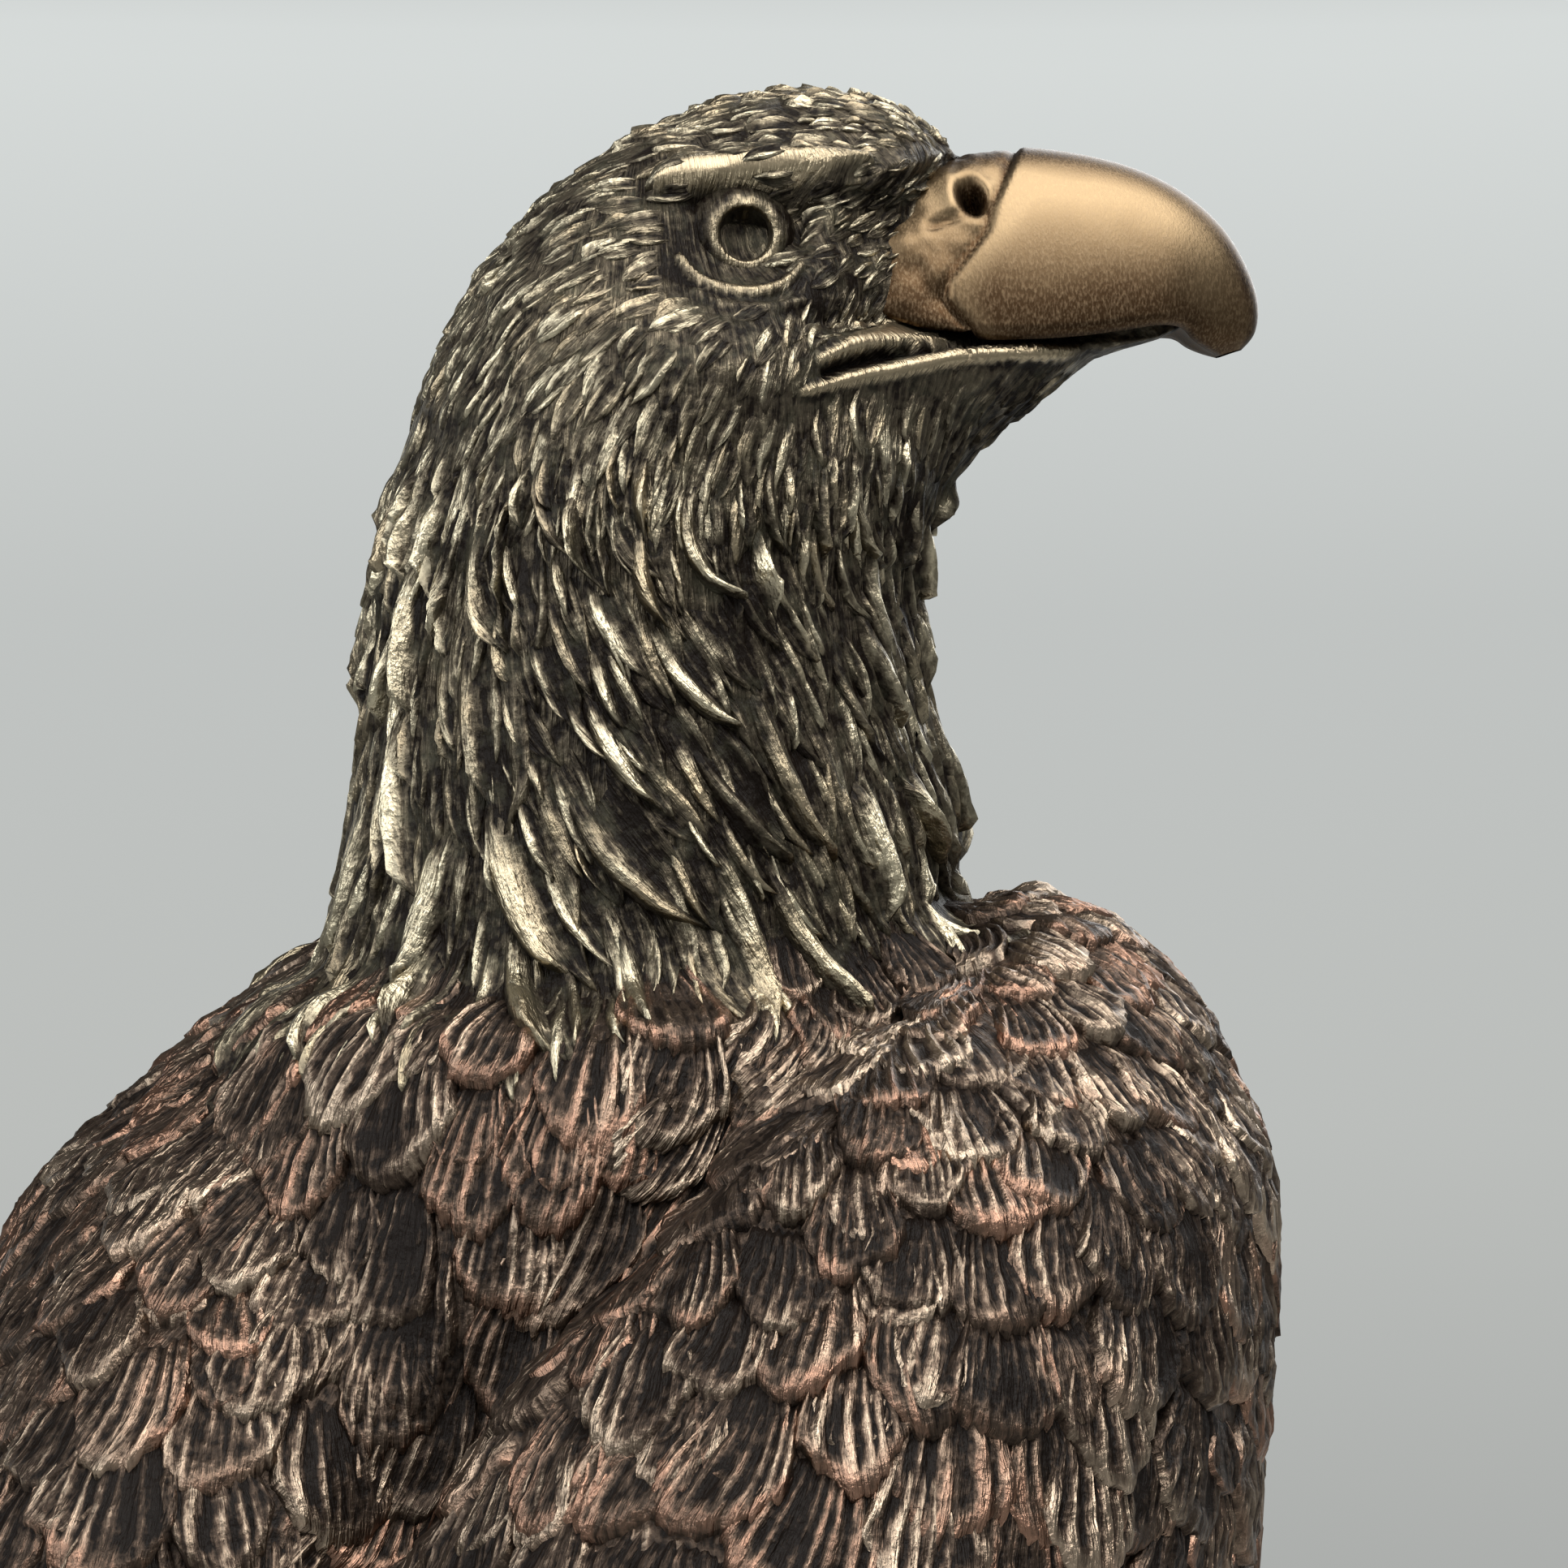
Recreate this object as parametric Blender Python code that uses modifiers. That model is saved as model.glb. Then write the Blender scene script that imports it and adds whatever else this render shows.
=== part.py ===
"""Perched eagle statuette: sectional bronze castings pinned together, on a hollow rock bolted to a plinth.

The bird faces -Y and stands on the rock, with its head turned to its own right. Tables are in millimetres.
"""

import math

import bmesh
import bpy
from mathutils import Vector

MM = 0.001
GAP = 0.3  # clearance between two pieces that touch
PAST = 4.0  # how far a cutter runs beyond the face that it opens

# Heights of the stack, from the felt up
FELT_TOP = 2.0
PLINTH_BOTTOM = FELT_TOP + GAP
PLINTH_TOP = 22.0
ROCK_BOTTOM = PLINTH_TOP + GAP
ROCK_TOP = 96.0
SOLE = ROCK_TOP + GAP
NECK_SEAT = 226.0  # where the head casting sits on the torso

# Round stock
PIN_R = 1.5
PIN_HOLE_R = PIN_R + GAP
STUD_R = 2.0
STUD_HOLE_R = STUD_R + GAP
WASHER_R = 5.0
WASHER_T = 0.8
NUT_R = 4.1
NUT_T = 3.2

# The head looks this far round to the bird's right of straight ahead
HEAD_TURN = math.radians(70)
HEAD_FORWARD = Vector((-math.sin(HEAD_TURN), -math.cos(HEAD_TURN), 0))
HEAD_SIDE = Vector((math.cos(HEAD_TURN), -math.sin(HEAD_TURN), 0))
NECK_CENTRE = Vector((0, -5, 0))
HEAD_LEVEL = 242.0  # height of the head tables' zero
HEAD_DATUM = NECK_CENTRE + 10.5 * HEAD_FORWARD + Vector((0, 0, HEAD_LEVEL))

# Each row: nape or crown (forward, up), throat or chin (forward, up), half width
NECK_AND_HEAD = [
    (-35.2, -15.7, 13.4, -15.7, 23.6),
    (-33.2, -6.0, 12.8, -7.0, 22.2),
    (-31.4, 6.0, 9.8, 4.0, 20.6),
    (-29.6, 16.0, 8.6, 12.0, 19.4),
    (-27.2, 26.0, 9.4, 17.5, 18.6),
    (-23.6, 34.5, 11.5, 21.5, 18.0),
    (-18.5, 40.8, 14.3, 24.2, 17.0),
    (-12.0, 45.6, 17.0, 26.2, 15.6),
    (-5.5, 48.4, 19.2, 27.9, 13.6),
    (0.5, 49.3, 20.8, 29.2, 11.6),
    (5.5, 48.6, 21.8, 30.2, 9.8),
    (9.5, 46.6, 22.4, 30.8, 8.0),
    (12.0, 44.0, 22.6, 31.2, 6.0),
]
# Each row: culmen (forward, up), lower edge (forward, up), half width
UPPER_BEAK = [
    (5.5, 42.0, 5.0, 30.5, 5.6),
    (12.0, 44.3, 12.0, 30.4, 6.9),
    (16.2, 44.8, 17.0, 31.0, 6.7),
    (20.5, 44.3, 21.0, 31.6, 6.2),
    (24.6, 42.7, 24.2, 32.3, 5.5),
    (28.2, 40.3, 26.8, 32.6, 4.7),
    (31.0, 37.3, 28.3, 32.3, 3.8),
    (32.8, 34.6, 29.0, 31.8, 3.0),
    (33.0, 32.6, 29.6, 31.3, 2.2),
    (31.9, 31.2, 30.3, 30.9, 1.0),
]
LOWER_BEAK = [
    (5.0, 30.5, 5.0, 25.5, 6.2),
    (12.0, 31.2, 12.5, 27.2, 6.0),
    (17.0, 31.8, 17.3, 28.7, 5.2),
    (22.0, 32.2, 22.2, 30.0, 4.2),
    (26.0, 32.8, 26.1, 31.1, 2.8),
    (27.6, 32.8, 27.8, 31.9, 1.2),
]
NECK_CAVITY = [
    (-23.0, -27.0, 2.0, -27.0, 12.0),
    (-23.0, -14.0, 2.0, -14.0, 12.0),
    (-25.0, 0.0, 3.6, -1.0, 14.2),
    (-23.4, 14.0, 2.6, 9.0, 13.4),
    (-20.0, 26.0, 3.6, 18.5, 12.6),
    (-15.0, 34.5, 6.2, 25.0, 11.2),
    (-9.5, 39.2, 8.5, 28.5, 8.6),
]
SPIGOT_R = 15.5
SPIGOT_DEPTH = 8.0
SPIGOT_ROOT = 4.0  # how far its form runs up inside the neck
NECK_PIN_CIRCLE = 19.4
NECK_PIN_ANGLES = (150, 330)
NECK_PIN_HALF = 6.0

# Level sections, each row: height, centre x, centre y, half width, half depth
TORSO = [
    (226, 0, -4.3, 31.0, 27.5),
    (220, 0, -4.5, 36.0, 31.0),
    (210, 0, -4.5, 40.0, 34.5),
    (195, 0, -3.5, 42.5, 38.5),
    (180, 0, -1.0, 42.5, 40.0),
    (165, 0, 3.2, 39.5, 39.3),
    (150, 0, 9.2, 34.5, 36.3),
    (138, 0, 16.2, 28.0, 31.3),
    (128, 0, 24.2, 21.0, 24.3),
    (120, 0, 31.5, 13.5, 15.5),
    (115, 0, 35.0, 7.0, 8.0),
]
TORSO_WALL = 6.0
TORSO_CAVITY = TORSO[2:8]
THIGH = [
    (172, 17.0, -5.0, 14.0, 16.0),
    (157, 19.0, -8.5, 15.5, 17.5),
    (143, 19.5, -11.0, 14.0, 15.5),
    (131, 19.5, -11.5, 11.8, 12.8),
    (122, 19.2, -11.0, 9.6, 10.4),
    (115, 19.0, -10.4, 7.6, 8.2),
]
WING = [
    (233.4, 21.5, -9.0, 5.0, 6.0),
    (231, 22.0, -8.0, 11.5, 12.5),
    (225, 22.5, -5.0, 17.5, 19.0),
    (215, 22.0, 0.5, 24.0, 27.5),
    (205, 21.0, 6.5, 26.0, 31.8),
    (195, 20.3, 11.0, 27.0, 34.5),
    (185, 19.6, 15.0, 27.4, 35.5),
    (170, 17.8, 20.0, 26.2, 34.5),
    (155, 16.2, 26.0, 24.0, 31.0),
    (142, 14.9, 32.5, 21.5, 26.5),
    (130, 13.8, 39.5, 18.8, 21.0),
    (120, 13.0, 47.5, 16.5, 14.5),
    (110, 12.4, 56.5, 14.3, 8.5),
    (98, 11.6, 62.6, 11.0, 5.4),
    (88, 10.6, 67.0, 7.5, 3.8),
    (83, 10.2, 69.0, 3.5, 2.0),
]
# The left shoulder hangs lower and closer, as the bird looks the other way
LEFT_DROOP_FROM = 185.0
LEFT_DROOP_IN = 0.06
LEFT_DROOP_DOWN = 0.05
WING_PINS = ((206, 8.0, 34.0, 42.0), (182, 10.0, 36.5, 44.5))  # height, y, inner end, outer end
WING_BLOCK_SIZE = (120.0, 200.0, 200.0)  # cuts off what of a wing would cross the bird's middle
WING_BLOCK_Y, WING_BLOCK_Z = 20.0, 160.0

TAIL = [
    (133, 36.0, 10.0, 9.0),
    (124, 43.0, 14.5, 9.0),
    (110, 51.0, 16.5, 4.6),
    (96, 57.5, 18.0, 4.0),
    (80, 65.0, 19.5, 3.4),
    (64, 72.5, 20.5, 2.9),
    (52, 78.0, 20.0, 2.5),
    (49.5, 79.2, 17.0, 1.8),
]  # each row: height, centre y, half width, half thickness
TAIL_ROOM = 0.8  # clearance from the tail to the wings that lie over it
TAIL_PIN_X = 6.5
TAIL_PIN_Z = 126.0
TAIL_PIN_FROM, TAIL_PIN_TO = 37.0, 46.5

# One leg, at +X. Toe paths run from the ankle, each point with its radius
LEG_X, LEG_Y = 19.0, -10.0
SHANK_R = 4.3
SHANK_TOP = 123.0
SOCKET_DEPTH_ROOM = 2.0  # how far the leg socket's cutter starts below the thigh
ANKLE_Z = 101.6
FOOT_PAD = [(SOLE + 0.2, 5.8), (98.5, 6.8), (ANKLE_Z, 6.6), (105.0, 5.4)]  # height, half width
STUD_TOP, STUD_FOOT = 112.0, 79.0
FRONT_TOE = [
    (0, 101.0, 4.3),
    (7, 101.6, 3.5),
    (13, 100.0, 3.3),
    (18.5, 100.2, 2.9),
    (21.0, 101.0, 2.1),
    (24.0, 100.2, 1.5),
    (26.0, 97.6, 0.5),
]  # each row: distance out, height, radius
HIND_TOE = [
    (0, 101.0, 4.3),
    (6, 100.4, 3.4),
    (11, 100.2, 2.9),
    (13.5, 101.2, 2.2),
    (17.5, 100.2, 1.6),
    (19.5, 97.6, 0.5),
]
FRONT_TOE_ANGLES = (-28, 0, 28)  # from straight ahead
HIND_TOE_ANGLE = 180
FOOT_SPLAY = 6  # degrees that each foot is turned outwards

ROCK = [
    (ROCK_BOTTOM, 0, 3.0, 60.0, 56.0),
    (36, 0, 1.5, 57.0, 53.0),
    (52, 0, -1.0, 53.5, 48.0),
    (68, 0, -4.0, 49.0, 43.0),
    (82, 0, -7.0, 46.5, 39.5),
    (91, 0, -8.5, 43.5, 35.5),
    (ROCK_TOP, 0, -9.0, 40.0, 32.5),
]
ROCK_WALL = 6.0
ROCK_CAVITY_TOP = 88.0
ROCK_LUMPS = ((3, 0.4, 0.035), (5, 1.9, 0.028), (8, 0.9, 0.022))  # lobes, turns by height, depth
ROCK_TWIST_RISE = 12.0  # the height in which a lobe goes round by its own turn, in radians
PILLAR_ROOT = 3.0  # how far a pillar's form runs up into the rock's roof
PILLAR_CENTRE = Vector((0, -8, 0))
PILLAR_CIRCLE = 24.0
PILLAR_ANGLES = (30, 150, 270)
PILLAR_R = 6.0
BOLT_TOP = 42.0
BOLT_HEAD_R = 4.0
BOLT_HEAD_T = 3.4
COUNTERBORE_R = 5.4
COUNTERBORE_TOP = 9.0

PLINTH_PROFILE = [
    (0, PLINTH_TOP),
    (66, PLINTH_TOP),
    (67.5, 20.5),
    (67.5, 18.0),
    (69, 15.0),
    (72.5, 12.8),
    (75, 11.5),
    (75, 3.8),
    (73.5, PLINTH_BOTTOM),
    (0, PLINTH_BOTTOM),
]
FELT_R = 72.0

BRONZE = ((0.10, 0.065, 0.045), 0.4, 1.0)
STEEL = ((0.55, 0.55, 0.56), 0.35, 1.0)
WALNUT = ((0.09, 0.045, 0.025), 0.45, 0.0)
FELT = ((0.02, 0.05, 0.03), 0.95, 0.0)


def clear_scene():
    for obj in list(bpy.data.objects):
        bpy.data.objects.remove(obj)


def collection(name):
    made = bpy.data.collections.new(name)
    bpy.context.scene.collection.children.link(made)
    return made


def material(name, look):
    colour, roughness, metallic = look
    made = bpy.data.materials.new(name)
    made.use_nodes = True
    shader = made.node_tree.nodes["Principled BSDF"]
    shader.inputs["Base Color"].default_value = (*colour, 1)
    shader.inputs["Roughness"].default_value = roughness
    shader.inputs["Metallic"].default_value = metallic
    return made


def place(obj, group, look=None):
    """Moves an object into a collection, and gives it its material or marks it as a cutter."""
    for old in list(obj.users_collection):
        old.objects.unlink(obj)
    group.objects.link(obj)
    if look is None:
        obj.hide_render = True
        obj.display_type = "WIRE"
    else:
        obj.data.materials.clear()
        obj.data.materials.append(look)
    return obj


def oval(centre, first, second, count):
    """Points round an ellipse with these two half axes."""
    turns = [2 * math.pi * i / count for i in range(count)]
    return [centre + math.cos(t) * first + math.sin(t) * second for t in turns]


def loft(name, rings):
    """A closed solid through rings that have the same number of points, with flat ends."""
    mesh = bmesh.new()
    loops = [[mesh.verts.new(point * MM) for point in points] for points in rings]
    count = len(loops[0])
    for low, high in zip(loops, loops[1:]):
        for i in range(count):
            j = (i + 1) % count
            mesh.faces.new((low[i], low[j], high[j], high[i]))
    mesh.faces.new(loops[0])
    mesh.faces.new(loops[-1])
    bmesh.ops.recalc_face_normals(mesh, faces=mesh.faces)
    data = bpy.data.meshes.new(name)
    mesh.to_mesh(data)
    mesh.free()
    return bpy.data.objects.new(name, data)


def level_loft(name, rows, side=1, grow=0.0, count=24):
    """A loft through level sections, mirrored in X by side and made larger all round by grow."""
    rings = []
    for z, x, y, half_x, half_y in rows:
        centre = Vector((side * x, y, z))
        rings.append(oval(centre, Vector((half_x + grow, 0, 0)), Vector((0, half_y + grow, 0)), count))
    return loft(name, rings)


def head_point(forward, up):
    return HEAD_DATUM + forward * HEAD_FORWARD + Vector((0, 0, up))


def rail_loft(name, rows, grow=0.0, count=20):
    """A loft in the head's own frame, between a back rail and a front rail."""
    rings = []
    for back_u, back_v, front_u, front_v, half_width in rows:
        back, front = head_point(back_u, back_v), head_point(front_u, front_v)
        half = (front - back) / 2
        half = half.normalized() * (half.length + grow)
        rings.append(oval((back + front) / 2, half, HEAD_SIDE * (half_width + grow), count))
    return loft(name, rings)


def tapered_tube(name, points, radii, count=8):
    """A tube through these points, with a radius at each, in a vertical plane."""
    rings = []
    for i, (point, radius) in enumerate(zip(points, radii)):
        before, after = points[max(i - 1, 0)], points[min(i + 1, len(points) - 1)]
        along = (after - before).normalized()
        across = Vector((-along.y, along.x, 0)).normalized()
        rings.append(oval(point, radius * across, radius * along.cross(across), count))
    return loft(name, rings)


def block(name, centre, size):
    bpy.ops.mesh.primitive_cube_add(size=1, location=Vector(centre) * MM)
    obj = bpy.context.object
    obj.name = name
    obj.scale = Vector(size) * MM
    return obj


def cylinder(name, radius, start, end, sides=16):
    start, end = Vector(start) * MM, Vector(end) * MM
    axis = end - start
    bpy.ops.mesh.primitive_cylinder_add(
        vertices=sides, radius=radius * MM, depth=axis.length, location=(start + end) / 2
    )
    obj = bpy.context.object
    obj.name = name
    obj.rotation_euler = axis.to_track_quat("Z", "Y").to_euler()
    return obj


def combine(obj, operation, *others):
    for other in others:
        modifier = obj.modifiers.new(operation.title() + "_" + other.name, "BOOLEAN")
        modifier.operation = operation
        modifier.object = other
        modifier.solver = "EXACT"
    return obj


def cut(obj, *cutters):
    return combine(obj, "DIFFERENCE", *[place(c, CUTTERS) for c in cutters])


def join(obj, *others):
    return combine(obj, "UNION", *[place(o, CUTTERS) for o in others])


def raised(point, z):
    return point + Vector((0, 0, z))


def around(centre, radius, degrees, z):
    angle = math.radians(degrees)
    return centre + Vector((radius * math.cos(angle), radius * math.sin(angle), z))


def at_height(rows, z, grow=0.0):
    """The section of a level table at any height, between its two nearest rows."""
    for high, low in zip(rows, rows[1:]):
        if high[0] >= z >= low[0]:
            t = (high[0] - z) / (high[0] - low[0])
            mixed = [a + t * (b - a) for a, b in zip(high, low)]
            return (z, mixed[1], mixed[2], mixed[3] + grow, mixed[4] + grow)
    raise ValueError(f"no section at {z}")


def add_head():
    head = place(rail_loft("head_and_neck", NECK_AND_HEAD), PARTS, BRONZE_LOOK)
    join(head, rail_loft("upper_beak_form", UPPER_BEAK, count=12))
    join(head, rail_loft("lower_beak_form", LOWER_BEAK, count=10))
    spigot_foot = raised(NECK_CENTRE, NECK_SEAT - SPIGOT_DEPTH)
    spigot_head = raised(NECK_CENTRE, NECK_SEAT + SPIGOT_ROOT)
    join(head, cylinder("spigot_form", SPIGOT_R, spigot_foot, spigot_head, 24))
    cut(head, rail_loft("neck_cavity", NECK_CAVITY, count=16))
    for n, degrees in enumerate(NECK_PIN_ANGLES, 1):
        low = around(NECK_CENTRE, NECK_PIN_CIRCLE, degrees, NECK_SEAT - NECK_PIN_HALF)
        high = around(NECK_CENTRE, NECK_PIN_CIRCLE, degrees, NECK_SEAT + NECK_PIN_HALF)
        hole_ends = (raised(low, -GAP), raised(high, GAP))
        cut(head, cylinder(f"neck_pin_hole_{n}", PIN_HOLE_R, *hole_ends, 12))
        place(cylinder(f"neck_pin_{n}", PIN_R, low, high, 12), PARTS, STEEL_LOOK)


def add_torso():
    torso = place(level_loft("torso", TORSO), PARTS, BRONZE_LOOK)
    for side, hand in ((-1, "right"), (1, "left")):
        join(torso, level_loft(f"{hand}_thigh_form", THIGH, side, count=16))
    cut(torso, level_loft("torso_cavity", TORSO_CAVITY, grow=-TORSO_WALL, count=20))
    bore_foot = raised(NECK_CENTRE, TORSO_CAVITY[0][0] - PAST)
    bore_head = raised(NECK_CENTRE, NECK_SEAT + PAST)
    cut(torso, cylinder("neck_bore", SPIGOT_R + GAP, bore_foot, bore_head, 24))
    cut(torso, *[bpy.data.objects[f"neck_pin_hole_{n}"] for n in (1, 2)])
    for side, hand in ((-1, "right"), (1, "left")):
        socket_foot = (side * LEG_X, LEG_Y, THIGH[-1][0] - SOCKET_DEPTH_ROOM)
        socket_head = (side * LEG_X, LEG_Y, SHANK_TOP + GAP)
        cut(torso, cylinder(f"{hand}_leg_socket", SHANK_R + GAP, socket_foot, socket_head, 16))
        for n, (z, y, inner, outer) in enumerate(WING_PINS, 1):
            start, end = (side * inner, y, z), (side * outer, y, z)
            hole_start = (side * (inner - GAP), y, z)
            hole_end = (side * (outer + GAP), y, z)
            name = f"{hand}_wing_pin"
            cut(torso, cylinder(f"{name}_hole_{n}", PIN_HOLE_R, hole_start, hole_end, 12))
            place(cylinder(f"{name}_{n}", PIN_R, start, end, 12), PARTS, STEEL_LOOK)
        start = (side * TAIL_PIN_X, TAIL_PIN_FROM, TAIL_PIN_Z)
        end = (side * TAIL_PIN_X, TAIL_PIN_TO, TAIL_PIN_Z)
        hole_start = (start[0], TAIL_PIN_FROM - GAP, TAIL_PIN_Z)
        hole_end = (end[0], TAIL_PIN_TO + GAP, TAIL_PIN_Z)
        cut(torso, cylinder(f"{hand}_tail_pin_hole", PIN_HOLE_R, hole_start, hole_end, 12))
        place(cylinder(f"{hand}_tail_pin", PIN_R, start, end, 12), PARTS, STEEL_LOOK)


def tail_rows(grow):
    """The tail's sections, with its edges and its two faces moved out by grow."""
    return [(z, 0, y, half_width + grow, half_depth + grow) for z, y, half_width, half_depth in TAIL]


def drooped(rows):
    """The left wing's sections: its shoulder is drawn in and down above a set height."""
    moved = []
    for z, x, y, half_x, half_y in rows:
        rise = max(z - LEFT_DROOP_FROM, 0)
        moved.append((z - LEFT_DROOP_DOWN * rise, x - LEFT_DROOP_IN * rise, y, half_x, half_y))
    return moved


def add_wings_and_tail():
    torso_room = level_loft("torso_room", TORSO, grow=GAP)
    below_seat = [value - 2 if i in (1, 3) else value for i, value in enumerate(NECK_AND_HEAD[0])]
    neck_room = rail_loft("neck_room", [below_seat] + NECK_AND_HEAD[:4], grow=GAP)
    tail_room = level_loft("tail_room", tail_rows(TAIL_ROOM), count=20)
    tail = place(level_loft("tail", tail_rows(0), count=20), PARTS, BRONZE_LOOK)
    cut(tail, torso_room)
    cut(tail, *[bpy.data.objects[f"{hand}_tail_pin_hole"] for hand in ("right", "left")])
    for side, hand in ((-1, "right"), (1, "left")):
        rows = WING if side < 0 else drooped(WING)
        wing = place(level_loft(f"{hand}_wing", rows, side), PARTS, BRONZE_LOOK)
        cut(wing, torso_room, neck_room, tail_room)
        cut(wing, level_loft(f"{hand}_thigh_room", THIGH, side, GAP, 16))
        block_x = side * (GAP - WING_BLOCK_SIZE[0]) / 2
        block_centre = (block_x, WING_BLOCK_Y, WING_BLOCK_Z)
        cut(wing, block(f"{hand}_wing_centre_cut", block_centre, WING_BLOCK_SIZE))
        cut(wing, *[bpy.data.objects[f"{hand}_wing_pin_hole_{n}"] for n in (1, 2)])


def toe(name, root, rows, degrees):
    """One toe and talon, out from the ankle at this angle from straight ahead."""
    angle = math.radians(degrees)
    out = Vector((math.sin(angle), -math.cos(angle), 0))
    points = [raised(root + out * distance, z) for distance, z, _ in rows]
    return tapered_tube(name, points, [radius for _, _, radius in rows])


def add_leg(side, hand):
    """A leg and foot in one casting, with the stud, washer and nut that hold it down through the rock."""
    ankle = Vector((side * LEG_X, LEG_Y, 0))
    foot = cylinder(f"{hand}_leg", SHANK_R, raised(ankle, SOLE), raised(ankle, SHANK_TOP))
    place(foot, PARTS, BRONZE_LOOK)
    splay = side * FOOT_SPLAY
    for n, degrees in enumerate(FRONT_TOE_ANGLES, 1):
        join(foot, toe(f"{hand}_toe_form_{n}", ankle, FRONT_TOE, degrees + splay))
    join(foot, toe(f"{hand}_hind_toe_form", ankle, HIND_TOE, HIND_TOE_ANGLE + splay))
    pad = [(z, LEG_X, LEG_Y, half, half) for z, half in FOOT_PAD]
    join(foot, level_loft(f"{hand}_foot_pad_form", pad, side, count=12))

    hole_ends = (raised(ankle, ROCK_CAVITY_TOP - PAST), raised(ankle, STUD_TOP + GAP))
    cut(foot, cylinder(f"{hand}_stud_hole", STUD_HOLE_R, *hole_ends, 12))
    stud_ends = (raised(ankle, STUD_FOOT), raised(ankle, STUD_TOP))
    place(cylinder(f"{hand}_leg_stud", STUD_R, *stud_ends, 12), PARTS, STEEL_LOOK)
    washer_top = ROCK_CAVITY_TOP - GAP
    add_washer(f"{hand}_leg_washer", ankle, washer_top)
    nut_top = washer_top - WASHER_T - GAP
    nut_ends = (raised(ankle, nut_top - NUT_T), raised(ankle, nut_top))
    nut = place(cylinder(f"{hand}_leg_nut", NUT_R, *nut_ends, 6), PARTS, STEEL_LOOK)
    bore_ends = (raised(nut_ends[0], -PAST), raised(nut_ends[1], PAST))
    cut(nut, cylinder(f"{hand}_nut_bore", STUD_HOLE_R, *bore_ends, 12))


def add_washer(name, centre, top):
    faces = (raised(centre, top - WASHER_T), raised(centre, top))
    washer = place(cylinder(name, WASHER_R, *faces, 20), PARTS, STEEL_LOOK)
    bore_ends = (raised(faces[0], -PAST), raised(faces[1], PAST))
    cut(washer, cylinder(f"{name}_bore", STUD_HOLE_R, *bore_ends, 12))


def rock_rings(rows, grow, count):
    """Lumpy rings: the lobes turn with height, and the foot and the top keep the same lobes."""
    rings = []
    for z, x, y, half_x, half_y in rows:
        points = []
        for i in range(count):
            angle = 2 * math.pi * i / count
            swell = 1.0
            for lobes, twist, depth in ROCK_LUMPS:
                swell += depth * math.sin(lobes * angle + twist * z / ROCK_TWIST_RISE)
            reach_x, reach_y = half_x * swell + grow, half_y * swell + grow
            points.append(Vector((x + reach_x * math.cos(angle), y + reach_y * math.sin(angle), z)))
        rings.append(points)
    return rings


def add_rock():
    rock = place(loft("rock", rock_rings(ROCK, 0, 26)), PARTS, BRONZE_LOOK)
    inner = [(ROCK_BOTTOM - PAST, *ROCK[0][1:])] + ROCK[1:5] + [at_height(ROCK[::-1], ROCK_CAVITY_TOP)]
    cut(rock, loft("rock_cavity", rock_rings(inner, -ROCK_WALL, 20)))
    for n, degrees in enumerate(PILLAR_ANGLES, 1):
        foot = around(PILLAR_CENTRE, PILLAR_CIRCLE, degrees, ROCK_BOTTOM)
        head = around(PILLAR_CENTRE, PILLAR_CIRCLE, degrees, ROCK_CAVITY_TOP + PILLAR_ROOT)
        join(rock, cylinder(f"pillar_form_{n}", PILLAR_R, foot, head, 12))
    for n, degrees in enumerate(PILLAR_ANGLES, 1):
        low = around(PILLAR_CENTRE, PILLAR_CIRCLE, degrees, -PAST)
        high = around(PILLAR_CENTRE, PILLAR_CIRCLE, degrees, BOLT_TOP + GAP)
        cut(rock, cylinder(f"bolt_hole_{n}", STUD_HOLE_R, low, high, 12))
    cut(rock, *[bpy.data.objects[f"{hand}_stud_hole"] for hand in ("right", "left")])


def add_plinth():
    data = bpy.data.meshes.new("plinth")
    points = [(x * MM, 0, z * MM) for x, z in PLINTH_PROFILE]
    data.from_pydata(points, [(i, i + 1) for i in range(len(points) - 1)], [])
    plinth = place(bpy.data.objects.new("plinth", data), PARTS, WALNUT_LOOK)
    turn = plinth.modifiers.new("Turned", "SCREW")
    turn.steps = turn.render_steps = 48
    turn.use_merge_vertices = True
    turn.merge_threshold = 0.00001
    for n, degrees in enumerate(PILLAR_ANGLES, 1):
        centre = around(PILLAR_CENTRE, PILLAR_CIRCLE, degrees, 0)
        cut(plinth, bpy.data.objects[f"bolt_hole_{n}"])
        mouth = (raised(centre, -PAST), raised(centre, COUNTERBORE_TOP))
        cut(plinth, cylinder(f"counterbore_{n}", COUNTERBORE_R, *mouth, 16))
        washer_top = COUNTERBORE_TOP - GAP
        add_washer(f"plinth_washer_{n}", centre, washer_top)
        head_top = washer_top - WASHER_T - GAP
        head_ends = (raised(centre, head_top - BOLT_HEAD_T), raised(centre, head_top))
        bolt = place(cylinder(f"plinth_bolt_{n}", BOLT_HEAD_R, *head_ends, 6), PARTS, STEEL_LOOK)
        shank_ends = (raised(centre, head_top - BOLT_HEAD_T / 2), raised(centre, BOLT_TOP))
        join(bolt, cylinder(f"bolt_shank_form_{n}", STUD_R, *shank_ends, 12))
    place(cylinder("felt_pad", FELT_R, (0, 0, 0), (0, 0, FELT_TOP), 48), PARTS, FELT_LOOK)


clear_scene()
PARTS = collection("eagle_statuette")
CUTTERS = collection("cutters")
BRONZE_LOOK = material("patinated_bronze", BRONZE)
STEEL_LOOK = material("steel", STEEL)
WALNUT_LOOK = material("walnut", WALNUT)
FELT_LOOK = material("felt", FELT)
add_head()
add_torso()
add_wings_and_tail()
for hand_side, hand_name in ((-1, "right"), (1, "left")):
    add_leg(hand_side, hand_name)
add_rock()
add_plinth()
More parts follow.
